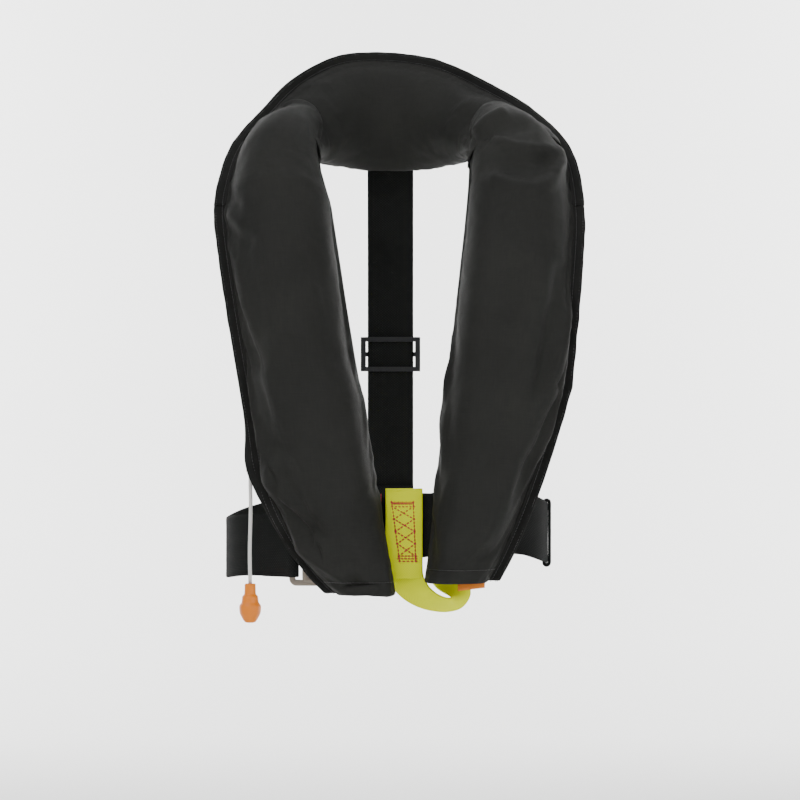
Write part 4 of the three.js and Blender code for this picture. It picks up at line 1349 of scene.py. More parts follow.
LEFT_FOLDS = (
    Fold(((72, 20), (80, 28), (92, 35)), 3.6, 4.6),
    Fold(((78, 14), (92, 20), (108, 24)), 7, -3.6),
    Fold(((85, 12), (100, 4), (118, 2), (140, 3)), 3.6, 3.2),
    Fold(((98, -2), (112, -5), (128, -4)), 4.5, -2.6),
    Fold(((96, -14), (114, -16), (128, -10)), 9, -3.4),
    Fold(((86, -24), (100, -31), (116, -32), (130, -24), (137, -10)), 6.5, 3.4),
    Fold(((140, -4), (133, -16)), 3.5, 2.4),
    Fold(((92, -62), (108, -70), (120, -86), (96, -140)), 11, -2.6),
    Fold(((118, -84), (112, -130), (108, -180)), 12, 2.2),
    Fold(((136, -96), (124, -150), (116, -200)), 6, -2.8),
    Fold(((140, -130), (134, -190), (128, -230)), 5, 2.0),
    Fold(((72, -90), (66, -150), (60, -220)), 12, 1.4),
    Fold(((112, -250), (104, -290), (98, -324)), 9, -3.2),
    Fold(((60, -260), (52, -300), (46, -335)), 13, 1.8),
    Fold(((32, -300), (36, -330)), 5, -1.8),
)


COLLAR_FOLDS = (
    Fold(((-90, 72), (-72, 67), (-56, 68)), 6, -3.4),
    Fold(((-80, 84), (-60, 84)), 7, 2.2),
    Fold(((54, 86), (60, 56), (74, 40)), 9, -3.2),
    Fold(((64, 92), (82, 74)), 7, 1.8),
    Fold(((-30, 60), (-20, 20)), 12, -2.0),
    Fold(((22, 64), (30, 18)), 12, -1.6),
)


@dataclass
class Covers:
    """The three packed covers: both lobes and the collar between them."""

    columns: int = 50
    right_tuck: tuple[float, float, float] = (0.15, 0.235, 0.03)
    left_tuck: tuple[float, float, float] = (0.87, 0.79, -0.03)
    tuck_drop: float = 10.0
    tuck_reach: float = 0.035
    port_z: float = -267.0
    port_flat: float = 16.0
    port_reach: float = 32.0
    port_lift: float = 17.5
    pieces: dict[str, Piece] = field(default_factory=dict)

    def outer_foot(self, lobe: Lobe, z: float) -> float:
        """The outer foot's height, raised where the cord comes out of the right lobe."""
        return OUTER_FOOT + (self.lift_at(z) if lobe is RIGHT else 0.0)

    def lift_at(self, z: float) -> float:
        """How far the closure gapes at a height, on the right lobe."""
        gap = max(0.0, abs(z - self.port_z) - self.port_flat) / self.port_reach
        return self.port_lift * 0.5 * (1 + math.cos(math.pi * min(1.0, gap)))

    def lobe_rows(self, lobe: Lobe, tuck: tuple[float, float, float]) -> list[Array]:
        """The rows of a lobe's cover, from its tuck beside the collar down to the hem."""
        start, end, bulge = tuck
        count = 26
        ends = [start + (end - start) * ease(c / (self.columns - 1)) for c in range(self.columns)]
        ends = [t + bulge * math.sin(math.pi * c / (self.columns - 1)) for c, t in enumerate(ends)]
        edge = 0.0 if lobe is RIGHT else 1.0
        rows = []
        for r in range(count):
            share = r / count
            row = []
            for c, tip in enumerate(ends):
                t = mix(tip, edge, share)
                station = collar_station(t)
                curl = -5.0 * (1 - ease(r / 3.5))
                row.append(arch(station, self.columns, (INNER_FOOT, OUTER_FOOT), station.crown + curl)[c])
            rows.append(np.array(row))
        for k in range(86):
            station = lobe.station(k / 85)
            z = station.b[2]
            rows.append(arch(station, self.columns, (INNER_FOOT, self.outer_foot(lobe, z)), station.crown))
        return rows

    def collar_rows(self) -> list[Array]:
        """The rows of the collar's cover, its two ends tucked under the lobes."""
        first, last, count = self.right_tuck[0] - self.tuck_reach, self.left_tuck[0] + self.tuck_reach, 120
        rows = []
        for k in range(count + 1):
            t = mix(first, last, k / count)
            station = collar_station(t)
            shown_right = ease((t - self.right_tuck[1]) / 0.05)
            shown_left = ease((self.left_tuck[1] - t) / 0.05)
            tucked = self.tuck_drop * (1 - min(shown_right, shown_left))
            rows.append(arch(station, 44, (3.2, 6.2), station.crown - tucked))
        return rows

    def build(self, paint: Paint) -> None:
        """Builds the covers and joins them to the frame."""
        right = CoverPiece(
            "right_lobe_cover", self.lobe_rows(RIGHT, self.right_tuck), RIGHT_FOLDS, ClothRun(), FIRST_ROWS,
            clear_of=("co2_cylinder", "inflator_head", "firing_lever"),
        )
        left = CoverPiece(
            "left_lobe_cover", self.lobe_rows(LEFT, self.left_tuck), LEFT_FOLDS, ClothRun(seed=11.0), FIRST_ROWS,
            flip=True,
            clear_of=("oral_tube", "oral_dust_cap", "whistle"),
        )
        collar = CoverPiece(
            "collar_cover_cloth", self.collar_rows(), COLLAR_FOLDS,
            ClothRun(growth=0.03, out_cap=4.0, in_cap=4.0, seed=21.0), FIRST_ROWS + LAST_ROWS, hem=False,
        )
        for cover, body, lobe in ((right, Body.RIGHT_FLAP, RIGHT), (left, Body.LEFT_FLAP, LEFT)):
            piece = cover.build(paint)
            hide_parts(f"cover_front_{lobe.name}", f"cover_flap_{lobe.name}")
            blend_over_peel(piece, lobe, body)
            self.pieces[lobe.name] = piece
        piece = collar.build(paint)
        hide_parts("collar_cover")
        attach(piece, Body.JACKET.value)
        self.pieces["collar"] = piece


def blend_over_peel(piece: Piece, lobe: Lobe, body: Body, reach: float = 13.0) -> None:
    """Lets a piece bend along a lobe's peel line, onto its flap."""
    top, out = lobe.peel()
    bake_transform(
        piece,
        Body.JACKET.value,
        body.value,
        start=tuple((top - out * reach) * MM),
        end=tuple((top + out * reach) * MM),
    )


# ---- bands, panels and closure ----


def lobe_stations(
    lobe: Lobe, count: int, z_from: float = LOBE_TOP_Z, z_to: float | None = None
) -> list[Station]:
    """Cuts down a lobe between two heights."""
    first = 0.0 if z_from >= LOBE_TOP_Z else lobe.share_at(z_from)
    last = 1.0 if z_to is None else lobe.share_at(z_to)
    return [lobe.station(mix(first, last, k / count)) for k in range(count + 1)]


SEAM_ROWS = ((1.9, 0.15), (7.1, 0.75))


def port_flare(z: float) -> float:
    """How far the right flange spreads over the firing lever's tip."""
    return 4.8 * math.exp(-(((z + 254.0) / 24.0) ** 2))


def level(_: float) -> float:
    """No lift at any height."""
    return 0.0


def band_rings(
    stations: Sequence[Station], lift: Heights, seed: float, flare: Heights = level
) -> list[Array]:
    """Rounded, slightly wavy rings of the sewn flange along the outer edge."""
    rings = []
    run = 0.0
    for i, s in enumerate(stations):
        if i:
            run += float(np.linalg.norm(s.b - stations[i - 1].b))
        wave = 0.7 * ripple(run / 9.0, 0.0, seed) + 0.5 * ripple(run / 27.0, 0.0, seed + 5)
        edge = 0.45 * ripple(run / 13.0, 3.0, seed) + flare(s.b[2])
        low = 2.0 + lift(s.b[2])
        high = low + BAND_HEIGHT
        w = s.width
        outline = [
            (w - BAND_WIDTH - 1.8, low + 0.9),
            (w - BAND_WIDTH - 0.2, low + 0.3),
            (w - BAND_WIDTH * 0.5, low + 0.1 + 0.4 * wave),
            (w - 1.0 + edge, low + wave),
            (w - 0.1 + edge, low + 0.6 + wave),
            (w + edge, low + 1.25 + wave),
            (w - 0.1 + edge, low + 1.9 + wave),
            (w - 1.0 + edge, high + wave),
            (w - 3.2, high - 0.1 + 0.9 * wave),
            (w - 5.0, high - 0.25 + 0.6 * wave),
            (w - 7.0, high - 0.9),
            (w - 8.2, high - 0.3 + 0.2 * wave),
            (w - BAND_WIDTH - 0.2, high + 0.5),
            (w - BAND_WIDTH - 1.8, high + 1.0),
        ]
        rings.append(np.array([s.at(u, h) for u, h in outline]))
    return rings


@dataclass
class EdgeBands:
    """The sewn flange round the horseshoe's outer edge, with its two rows of stitching."""

    step: int = 150

    def build(self, paint: Paint, machine: StitchMachine, covers: Covers) -> None:
        """Builds the three bands and their stitches."""
        for lobe, body, extra in (
            (RIGHT, Body.RIGHT_FLAP, ("flap_band_right_upper", "flap_band_right_lower")),
            (LEFT, Body.LEFT_FLAP, ("flap_band_left",)),
        ):
            lift = covers.lift_at if lobe is RIGHT else level
            flare = port_flare if lobe is RIGHT else level
            stations = lobe_stations(lobe, self.step)
            rings = band_rings(stations, lift, lobe.side * 3.0, flare)
            band = skin_rings(f"{lobe.name}_edge_flange", rings)
            paint.dress(band, "band")
            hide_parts(f"edge_band_{lobe.name}", *extra)
            blend_over_peel(band, lobe, body)
            rows = [
                np.array([s.at(s.width - inset, 4.45 + lift(s.b[2]) - drop) for s in stations])
                for inset, drop in SEAM_ROWS
            ]
            seam = machine.sew(f"{lobe.name}_flange_stitches", rows, "black_thread", 2.6, 2.1, 0.3)
            blend_over_peel(seam, lobe, body)
            line = self._hem_line(lobe, covers)
            hem = machine.sew(f"{lobe.name}_hem_stitches", [line], "black_thread", 2.6, 2.1, 0.3, 9)
            blend_over_peel(hem, lobe, body)
        stations = [collar_station(k / 220) for k in range(221)]
        band = skin_rings("collar_edge_flange", band_rings(stations, lambda z: 0.6, 8.0))
        paint.dress(band, "band")
        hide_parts("edge_band_collar")
        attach(band, Body.JACKET.value)
        rows = [np.array([s.at(s.width - inset, 5.05 - drop) for s in stations]) for inset, drop in SEAM_ROWS]
        seam = machine.sew("collar_flange_stitches", rows, "black_thread", 2.6, 2.1, 0.3, 4)
        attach(seam, Body.JACKET.value)

    @staticmethod
    def _hem_line(lobe: Lobe, covers: Covers) -> Array:
        """The hem's stitch line, laid on the finished cover 9 mm above its edge."""
        piece = covers.pieces[lobe.name]
        faces = [face.vertices for face in piece.data.polygons]
        tree = BVHTree.FromPolygons([v.co for v in piece.data.vertices], faces)
        z = lobe.hem_z + 9.5
        station = lobe.station(lobe.share_at(z))
        line = []
        for p in arch(station, 80, (INNER_FOOT, OUTER_FOOT), station.crown)[4:-3]:
            away = p + point(0, -25, 0)
            hit = tree.ray_cast(Vector(away * MM), Vector((0, 1, 0)), 0.06)
            if hit[0] is not None:
                line.append(np.array(hit[0]) / MM + point(0, -0.1, 0))
        return np.array(line)


def panel_piece(name: str, stations: Sequence[Station], columns: int = 22) -> tuple[Piece, float]:
    """A wearer-side panel as a closed, slightly uneven sheet; also its flat area in square metres."""
    rings = []
    run = 0.0
    for i, s in enumerate(stations):
        if i:
            run += float(np.linalg.norm(s.b - stations[i - 1].b))
        w = s.width
        under, over = [], []
        for k in range(columns + 1):
            u = 0.3 + (w - 0.6) * k / columns
            calm = min(1.0, k / 2.0, (columns - k) / 2.0)
            swell = 0.35 * ripple(u / 26.0, run / 34.0, 3.0) * calm
            under.append(s.at(u, 0.12 + 0.1 * calm + max(swell, -0.1)))
            over.append(s.at(u, 1.45))
        rings.append(np.array(under + over[::-1]))
    area = sum(
        0.5 * (s.width + t.width) * 0.5 * float(np.linalg.norm(t.b - s.b) + np.linalg.norm(t.a - s.a))
        for s, t in zip(stations, stations[1:])
    )
    return skin_rings(name, rings), area * MM * MM


@dataclass
class BackPanels:
    """The lining against the wearer, in three cuts."""

    seam_inset: float = 3.0

    def build(self, paint: Paint, machine: StitchMachine) -> None:
        """Builds the panels and the stitching round their inner edge."""
        collar_cuts = [collar_station(k / 150) for k in range(151)]
        cuts = (
            ("right_lining_panel", lobe_stations(RIGHT, 90), "back_panel_right", (0.104, 0.345)),
            ("left_lining_panel", lobe_stations(LEFT, 90), "back_panel_left", (0.104, 0.345)),
            ("collar_lining_panel", collar_cuts, "collar_back_panel", (0.118, 0.62)),
        )
        for name, stations, node, flat in cuts:
            piece, area = panel_piece(name, stations)
            paint.dress(piece, "lining")
            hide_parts(node)
            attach(piece, Body.JACKET.value)
            LOG.info("%s: flat area %.4f m2 in %.3f x %.3f m", name, area, *flat)
            lines = [np.array([s.at(u, 0.1) for s, u in zip(stations, side)]) for side in (
                [self.seam_inset] * len(stations), [s.width - self.seam_inset for s in stations]
            )]
            seam = machine.sew(f"{name}_stitches", lines, "black_thread", 3.0, 2.4, 0.32, 6)
            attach(seam, Body.JACKET.value)


@dataclass
class ClosureTapes:
    """Hook tape on the panels and loop tape under the flaps."""

    width: float = 12.0
    thick: float = 1.0

    def _strip(self, name: str, stations: Sequence[Station], low: Heights) -> Piece:
        """A flat tape beside the flange."""
        rings = []
        for s in stations:
            u1 = s.width - BAND_WIDTH - 0.6
            u0 = u1 - self.width + 0.4
            base = low(s.b[2])
            across, top = (u0, (u0 + u1) / 2, u1), base + self.thick
            outline = [(u, base) for u in across] + [(u, top) for u in reversed(across)]
            rings.append(np.array([s.at(u, h) for u, h in outline]))
        return skin_rings(name, rings)

    def build(self, paint: Paint, piles: PileMaker) -> None:
        """Builds both sides' tapes below the peel line's top."""
        top = LOBE_TOP_Z - PEEL_DROP
        for lobe, body in ((RIGHT, Body.RIGHT_FLAP), (LEFT, Body.LEFT_FLAP)):
            low_end = lobe.hem_z + 4
            cuts = lobe_stations(lobe, 70, top - 14, low_end)
            hooks = self._strip(f"{lobe.name}_hook_strip", cuts, lambda z: 2.05)
            paint.dress(hooks, "hooks")
            piles.cover(hooks, "hooks", 160000.0, 0.45, 5)
            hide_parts(f"hook_tape_{lobe.name}")
            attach(hooks, Body.JACKET.value)
            spans = [("loop_strip", top - 14, low_end, (f"loop_tape_{lobe.name}",))]
            if lobe is RIGHT:
                spans = [
                    ("upper_loop_strip", top - 14, -218, ("loop_tape_right_upper",)),
                    ("lower_loop_strip", -306, low_end, ("loop_tape_right_lower",)),
                ]
            for title, z0, z1, nodes in spans:
                loops = self._strip(f"{lobe.name}_{title}", lobe_stations(lobe, 60, z0, z1), lambda z: 3.55)
                paint.dress(loops, "hooks")
                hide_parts(*nodes)
                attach(loops, body.value)


# ---- bladder ----


@dataclass
class FoldedBladder:
    """The orange bladder, folded lengthways, with its welded end showing at the left hem."""

    lift: float = 4.8
    thin: float = 7.0
    full: float = 17.0

    def _ring(self, s: Station, thick: float, lift: float, run: float) -> Array:
        """One cut of the folded bladder: rounded sides with a pleat in each."""
        w0, w1 = 9.0, s.width - 23.0
        crease = 0.18 * thick * ripple(run / 22.0, 0.0, 6.0)
        side = [(0, 0.0), (-0.9, 0.22), (2.6, 0.48), (-0.7, 0.74), (1.2, 1.0)]
        left = [(w0 + du + 1.0, lift + thick * k) for du, k in side]
        right = [(w1 - du - 1.0, lift + thick * k) for du, k in reversed(side)]
        top = []
        for k in range(1, 10):
            t = k / 10
            bump = 0.35 * ripple(run / 12.0, t * 6.0, 1.0) + 0.6 * ripple(run / 40.0, t * 2.0, 2.0)
            height = lift + thick + bump - 0.5 + crease * math.sin(t * math.pi)
            top.append((mix(left[-1][0], right[0][0], t), height))
        under = [(mix(right[-1][0], left[0][0], k / 6), lift) for k in range(1, 6)]
        return np.array([s.at(u, h) for u, h in [*left, *top, *right, *under]])

    def build(self, paint: Paint) -> None:
        """Builds the bladder and its welded end."""
        rows: list[tuple[Station, float, float]] = []
        for s in reversed(lobe_stations(RIGHT, 70, LOBE_TOP_Z, -316)):
            rows.append((s, self.thin, self.lift))
        for k in range(4, 117):
            t = k / 120
            share = ease(min(k - 4, 116 - k) / 22)
            rows.append((collar_station(t), mix(self.thin, self.full, share), self.lift + 1.2 * share))
        for s in lobe_stations(LEFT, 70, LOBE_TOP_Z, -312):
            rows.append((s, self.thin, self.lift))
        rings, run = [], 0.0
        for i, (s, thick, lift) in enumerate(rows):
            if i:
                run += float(np.linalg.norm(s.a - rows[i - 1][0].a))
            close = ease(min(i, len(rows) - 1 - i) / 5)
            rings.append(self._ring(s, max(1.4, thick * close), lift, run))
        body = skin_rings("folded_bladder", rings)
        paint.dress(body, "bladder")
        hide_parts("bladder")
        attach(body, Body.JACKET.value)
        self._end(paint)

    def _end(self, paint: Paint) -> None:
        """The flat welded end below the left hem."""
        rings = []
        for k in range(31):
            z = mix(-305.5, -350.6, k / 30)
            flare = 0.6 * ripple(z / 14.0, 0.0, 4.0)
            y = -110.0 + 0.5 * ripple(z / 17.0, 2.0, 4.0)
            weld = 0.35 if 24 <= k <= 26 else 0.0
            outline = []
            for u in np.linspace(-10.8, 10.8, 12):
                outline.append((u, 0.9 - weld + 0.2 * math.cos(u)))
            for u in np.linspace(10.8, -10.8, 12):
                outline.append((u, -0.8 + weld))
            spread = 1 + 0.004 * flare
            rings.append(np.array([point(65.0 + u * spread, y - h, z + 0.12 * u) for u, h in outline]))
        piece = skin_rings("bladder_welded_end", rings)
        paint.dress(piece, "bladder")
        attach(piece, Body.JACKET.value)


# ---- webbing ----


@dataclass
class Ribbon:
    """Flat webbing along stations of (point, direction of its width)."""

    name: str
    stations: Sequence[tuple[Array, Array]]
    width: float
    thick: float
    closed: bool = False
    steps: int = 90
    selvedge: float = 0.12
    wave: float = 0.25
    seed: float = 1.0
    square: bool = True

    def rings(self) -> list[Array]:
        """The cut ends of the webbing at even distances."""
        points = [p for p, _ in self.stations]
        widths = [unit(w) for _, w in self.stations]
        if self.closed:
            points = [*points, points[0]]
            widths = [*widths, widths[0]]
        fine = 400
        both = np.array([
            np.concatenate([catmull(points, k / fine), catmull(widths, k / fine)]) for k in range(fine + 1)
        ])
        gaps = np.linalg.norm(np.diff(both[:, :3], axis=0), axis=1)
        run = np.concatenate([[0], np.cumsum(gaps)])
        places = np.linspace(0, run[-1], self.steps + 1)
        line = np.column_stack([np.interp(places, run, both[:, k]) for k in range(6)])
        if self.closed:
            line = line[:-1]
        rings = []
        for i, row in enumerate(line):
            before = line[i - 1] if (i or self.closed) else row
            after = line[(i + 1) % len(line)] if (i + 1 < len(line) or self.closed) else row
            along = unit(after[:3] - before[:3])
            across = unit(row[3:] - along * float(row[3:] @ along)) if self.square else unit(row[3:])
            normal = unit(np.cross(along, across))
            rings.append(np.array([
                row[:3] + across * a + normal * b for a, b in self._profile(places[i])
            ]))
        return rings

    def _profile(self, run: float) -> list[tuple[float, float]]:
        """The rounded cut: flat faces, fuller selvedges."""
        half, deep = self.width / 2, self.thick / 2
        wobble = self.wave * ripple(run / 21.0, 0.0, self.seed)
        faces = [-0.97, -0.9, -0.7, -0.35, 0.0, 0.35, 0.7, 0.9, 0.97]
        full = [1.0, 1 + self.selvedge, 1.0, 1.0, 1.0, 1.0, 1.0, 1 + self.selvedge, 1.0]
        bend = [self.wave * 0.8 * ripple(run / 30.0, f * 1.3, self.seed + 3) * (1 - abs(f)) for f in faces]
        top = [(f * half + 0.3 * wobble, deep * k * 0.94 + e) for f, k, e in zip(faces, full, bend)]
        low = [(f * half + 0.3 * wobble, -deep * k * 0.94 + e) for f, k, e in zip(faces, full, bend)]
        right = [(half * 0.995 + 0.3 * wobble, deep * 0.5), (half * 0.995 + 0.3 * wobble, -deep * 0.5)]
        left = [(-half * 0.995 + 0.3 * wobble, -deep * 0.5), (-half * 0.995 + 0.3 * wobble, deep * 0.5)]
        return [*top, *right, *reversed(low), *left]

    def build(
        self, paint: Paint, finish: str, slot: str, body: Body = Body.JACKET, stands_for: Sequence[str] = ()
    ) -> Piece:
        """Makes the webbing and joins it to the frame."""
        spots = np.array(self._profile(0.0))
        top = list(spots[:9, 0] + self.width) + [self.width * 1.5] * 2
        low = list(spots[11:20, 0] + self.width * 3) + [self.width * 0.5] * 2
        piece = skin_rings(self.name, self.rings(), self.closed, profile_uv=top + low)
        paint.dress(piece, finish)
        if stands_for:
            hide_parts(*stands_for)
        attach(piece, body.value)
        return piece


def belt_loop(deep: float, half: float) -> list[tuple[float, float]]:
    """A flat ring round a belt's cut: straight faces and round ends, as (depth, height) pairs."""
    spots = [(-deep, mix(-half, half, k / 8)) for k in range(9)]
    spots += [(-deep * math.cos(a), half + deep * math.sin(a)) for a in np.linspace(0.4, math.pi - 0.4, 5)]
    return spots + [(-a, -z) for a, z in spots]


@dataclass
class WaistBelt:
    """The belt round the waist, its sewn ends, its keeper and the buckle."""

    width: float = 50.0
    thick: float = 2.2
    loop_thick: float = 1.6
    keeper_thick: float = 2.4
    keeper_width: float = 20.0
    centre: tuple[float, float] = (-2.5, 10.0)
    half: tuple[float, float] = (132.7, 102.0)
    power: float = 3.2
    end_x: float = -14.0
    frame_at: tuple[float, float, float] = (-58.0, -91.0, -317.0)
    frame_size: tuple[float, float, float, float] = (45.0, 64.0, 5.0, 4.0)
    hook_at: tuple[float, float, float] = (-58.75, -95.6, -316.0)
    hook_size: tuple[float, float, float, float] = (22.5, 60.0, 4.5, 3.0)

    def front_angle(self, x: float) -> float:
        """The angle, in degrees, at which the belt's front passes x."""
        t = (x - self.centre[0]) / self.half[0]
        return -450 + math.degrees(math.asin(math.copysign(abs(t) ** (self.power / 2), t)))

    def height(self, angle: float) -> float:
        """The belt's height round the waist."""
        line = [(-134, -317), (-180, -322), (-270, -306), (-360, -310), (-430, -294)]
        line.append((self.front_angle(self.end_x), -303))
        i = max(1, next((k for k, (a, _) in enumerate(line) if a <= angle), 1))
        (a0, z0), (a1, z1) = line[i - 1], line[i]
        return mix(z0, z1, ease((a0 - angle) / (a0 - a1)))

    def at(self, angle: float, offset: float = 0.0) -> Array:
        """The belt's middle at an angle."""
        c, s = math.cos(math.radians(angle)), math.sin(math.radians(angle))
        bow = lambda t: math.copysign(abs(t) ** (2 / self.power), t)
        x = self.centre[0] + (self.half[0] + offset) * bow(c)
        y = self.centre[1] + (self.half[1] + offset) * bow(s)
        return point(x, y, self.height(angle))

    def build(self, paint: Paint, machine: StitchMachine) -> None:
        """Builds the belt with everything sewn to it."""
        length, _, bar, thick = self.frame_size
        post = point(self.frame_at[0] - length / 2 + bar / 2, self.frame_at[1], self.frame_at[2])
        to_belt = self.at(-134) - post
        to_belt = unit(point(to_belt[0], to_belt[1], 0))
        end_angle = self.front_angle(self.end_x)
        run = [post + to_belt * 9.0] + [self.at(mix(-134, end_angle, k / 60)) for k in range(61)]
        Ribbon("belt_webbing", [(p, UP) for p in run], self.width, self.thick, steps=330, wave=0.16).build(
            paint, "belt", "black_webbing", stands_for=("waist_belt",)
        )
        offset = self.thick / 2 + self.loop_thick / 2 + 0.4
        radius = math.hypot(bar, thick) / 2 + 0.4 + self.loop_thick / 2 + 0.2
        sideways = point(-to_belt[1], to_belt[0], 0)
        fold = [post + to_belt * 27 + sideways * offset]
        for k in range(9):
            turn = math.radians(mix(70, 290, k / 8))
            fold.append(post + to_belt * radius * math.cos(turn) + sideways * radius * math.sin(turn))
        fold.append(post + to_belt * 27 - sideways * offset)
        self._end_fold("frame_end_fold", fold, 70, "belt_fold_frame", paint)
        hook_fold = [
            point(*p)
            for p in (
                (-6, -89.6, -299), (-16, -89.2, -303.5), (-27, -86, -309), (-37, -84.5, -314),
                (-42, -85.6, -315.5), (-52.2, -92.4, -316), (-54, -95.6, -316), (-52.4, -98.1, -316),
                (-49.8, -98.6, -316), (-47, -98, -316), (-45.6, -95.4, -316), (-44.4, -91.2, -316),
                (-42.2, -88, -315.5), (-36, -87.4, -314), (-24, -89.6, -309), (-15, -94.6, -303.5),
                (-6, -94.7, -299),
            )
        ]
        self._end_fold("hook_end_fold", hook_fold, 110, "belt_fold_hook", paint)
        self._keeper(paint)
        self._tack(paint, machine)
        self._buckle(paint)

    def _end_fold(self, name: str, line: Sequence[Array], steps: int, node: str, paint: Paint) -> None:
        """A sewn fold of webbing round one of the buckle's bars."""
        spots = [(p, UP) for p in line]
        Ribbon(name, spots, self.width, self.loop_thick, steps=steps, wave=0.1).build(
            paint, "belt", "black_webbing", stands_for=(node,)
        )

    def _keeper(self, paint: Paint) -> None:
        """The elastic keeper on the wearer's left side."""
        middle = self.at(-366)
        along = self.at(-368) - self.at(-364)
        along = unit(point(along[0], along[1], 0))
        out = np.cross(along, UP)
        deep = self.thick / 2 + self.keeper_thick / 2 + 0.1
        half = self.width / 2 - 0.6
        ring = [(middle + out * a + UP * z, along) for a, z in belt_loop(deep, half)]
        Ribbon(
            "belt_keeper_elastic", ring, self.keeper_width, self.keeper_thick, closed=True, steps=120, wave=0.1
        ).build(paint, "keeper", "black_rubber", stands_for=("belt_keeper",))

    def _tack(self, paint: Paint, machine: StitchMachine) -> None:
        """Red bar tacks that hold the belt's end beside the becket."""
        y = -96.0
        rows = []
        for x in (-8.6, -6.9):
            rows.append(np.array([point(x, y, z) for z in np.linspace(-322, -276, 24)]))
        tack = machine.sew("belt_end_tacks", rows, "red_thread", 2.3, 2.1, 0.42, 12)
        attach(tack, Body.JACKET.value)

    @staticmethod
    def _ring(name: str, at: Place, size: tuple[float, float, float, float], radius: float) -> Piece:
        """A rounded metal ring swept round its own rectangle."""
        length, height, bar, thick = size
        hx, hz = length / 2 - bar / 2, height / 2 - bar / 2
        r = max(1.5, radius - bar / 2)
        path = []
        corners = ((hx - r, hz - r), (-hx + r, hz - r), (-hx + r, -hz + r), (hx - r, -hz + r))
        for (cx, cz), start in zip(corners, (0, 90, 180, 270)):
            for k in range(9):
                a = math.radians(start + 90 * k / 8)
                path.append((cx + r * math.cos(a), cz + r * math.sin(a)))
        rings = []
        for i, (x, z) in enumerate(path):
            (x0, z0), (x1, z1) = path[i - 1], path[(i + 1) % len(path)]
            out = unit(point(z1 - z0, 0, -(x1 - x0)))
            cut = []
            for k in range(20):
                a = 2 * math.pi * k / 20
                c, s = math.cos(a), math.sin(a)
                du = (bar / 2) * math.copysign(abs(c) ** 0.5, c)
                dv = (thick / 2) * math.copysign(abs(s) ** 0.5, s)
                cut.append(point(at[0] + x, at[1] + dv, at[2] + z) + out * du)
            rings.append(np.array(cut))
        return skin_rings(name, rings, closed=True)

    def _buckle(self, paint: Paint) -> None:
        """The steel frame and the ring that hooks through it."""
        ring = self._ring("steel_buckle_frame", self.frame_at, self.frame_size, 6.0)
        paint.dress(ring, "steel")
        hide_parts("buckle_frame")
        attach(ring, Body.JACKET.value)
        hook = self._ring("steel_buckle_hook", self.hook_at, self.hook_size, 4.0)
        paint.dress(hook, "steel")
        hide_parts("buckle_hook")
        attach(hook, Body.HOOK_RING.value)


LOOP_EDGES = (
    ((-3.5, -331), (26.5, -331), -91.8),
    ((-2.5, -340), (27, -340), -92),
    ((2, -350), (29, -345), -93),
    ((11, -359.5), (32, -349.5), -94.5),
    ((24, -366.5), (37, -354), -95.5),
    ((36, -369.5), (43, -357), -95.5),
    ((47, -370), (47.5, -358), -94.5),
    ((57, -367.5), (49, -357.5), -92),
    ((63.5, -361), (47, -355.5), -88.5),
    ((65, -352), (37, -350), -84),
    ((63, -344), (33, -344.5), -81),
    ((62, -336), (32, -337), -79),
)


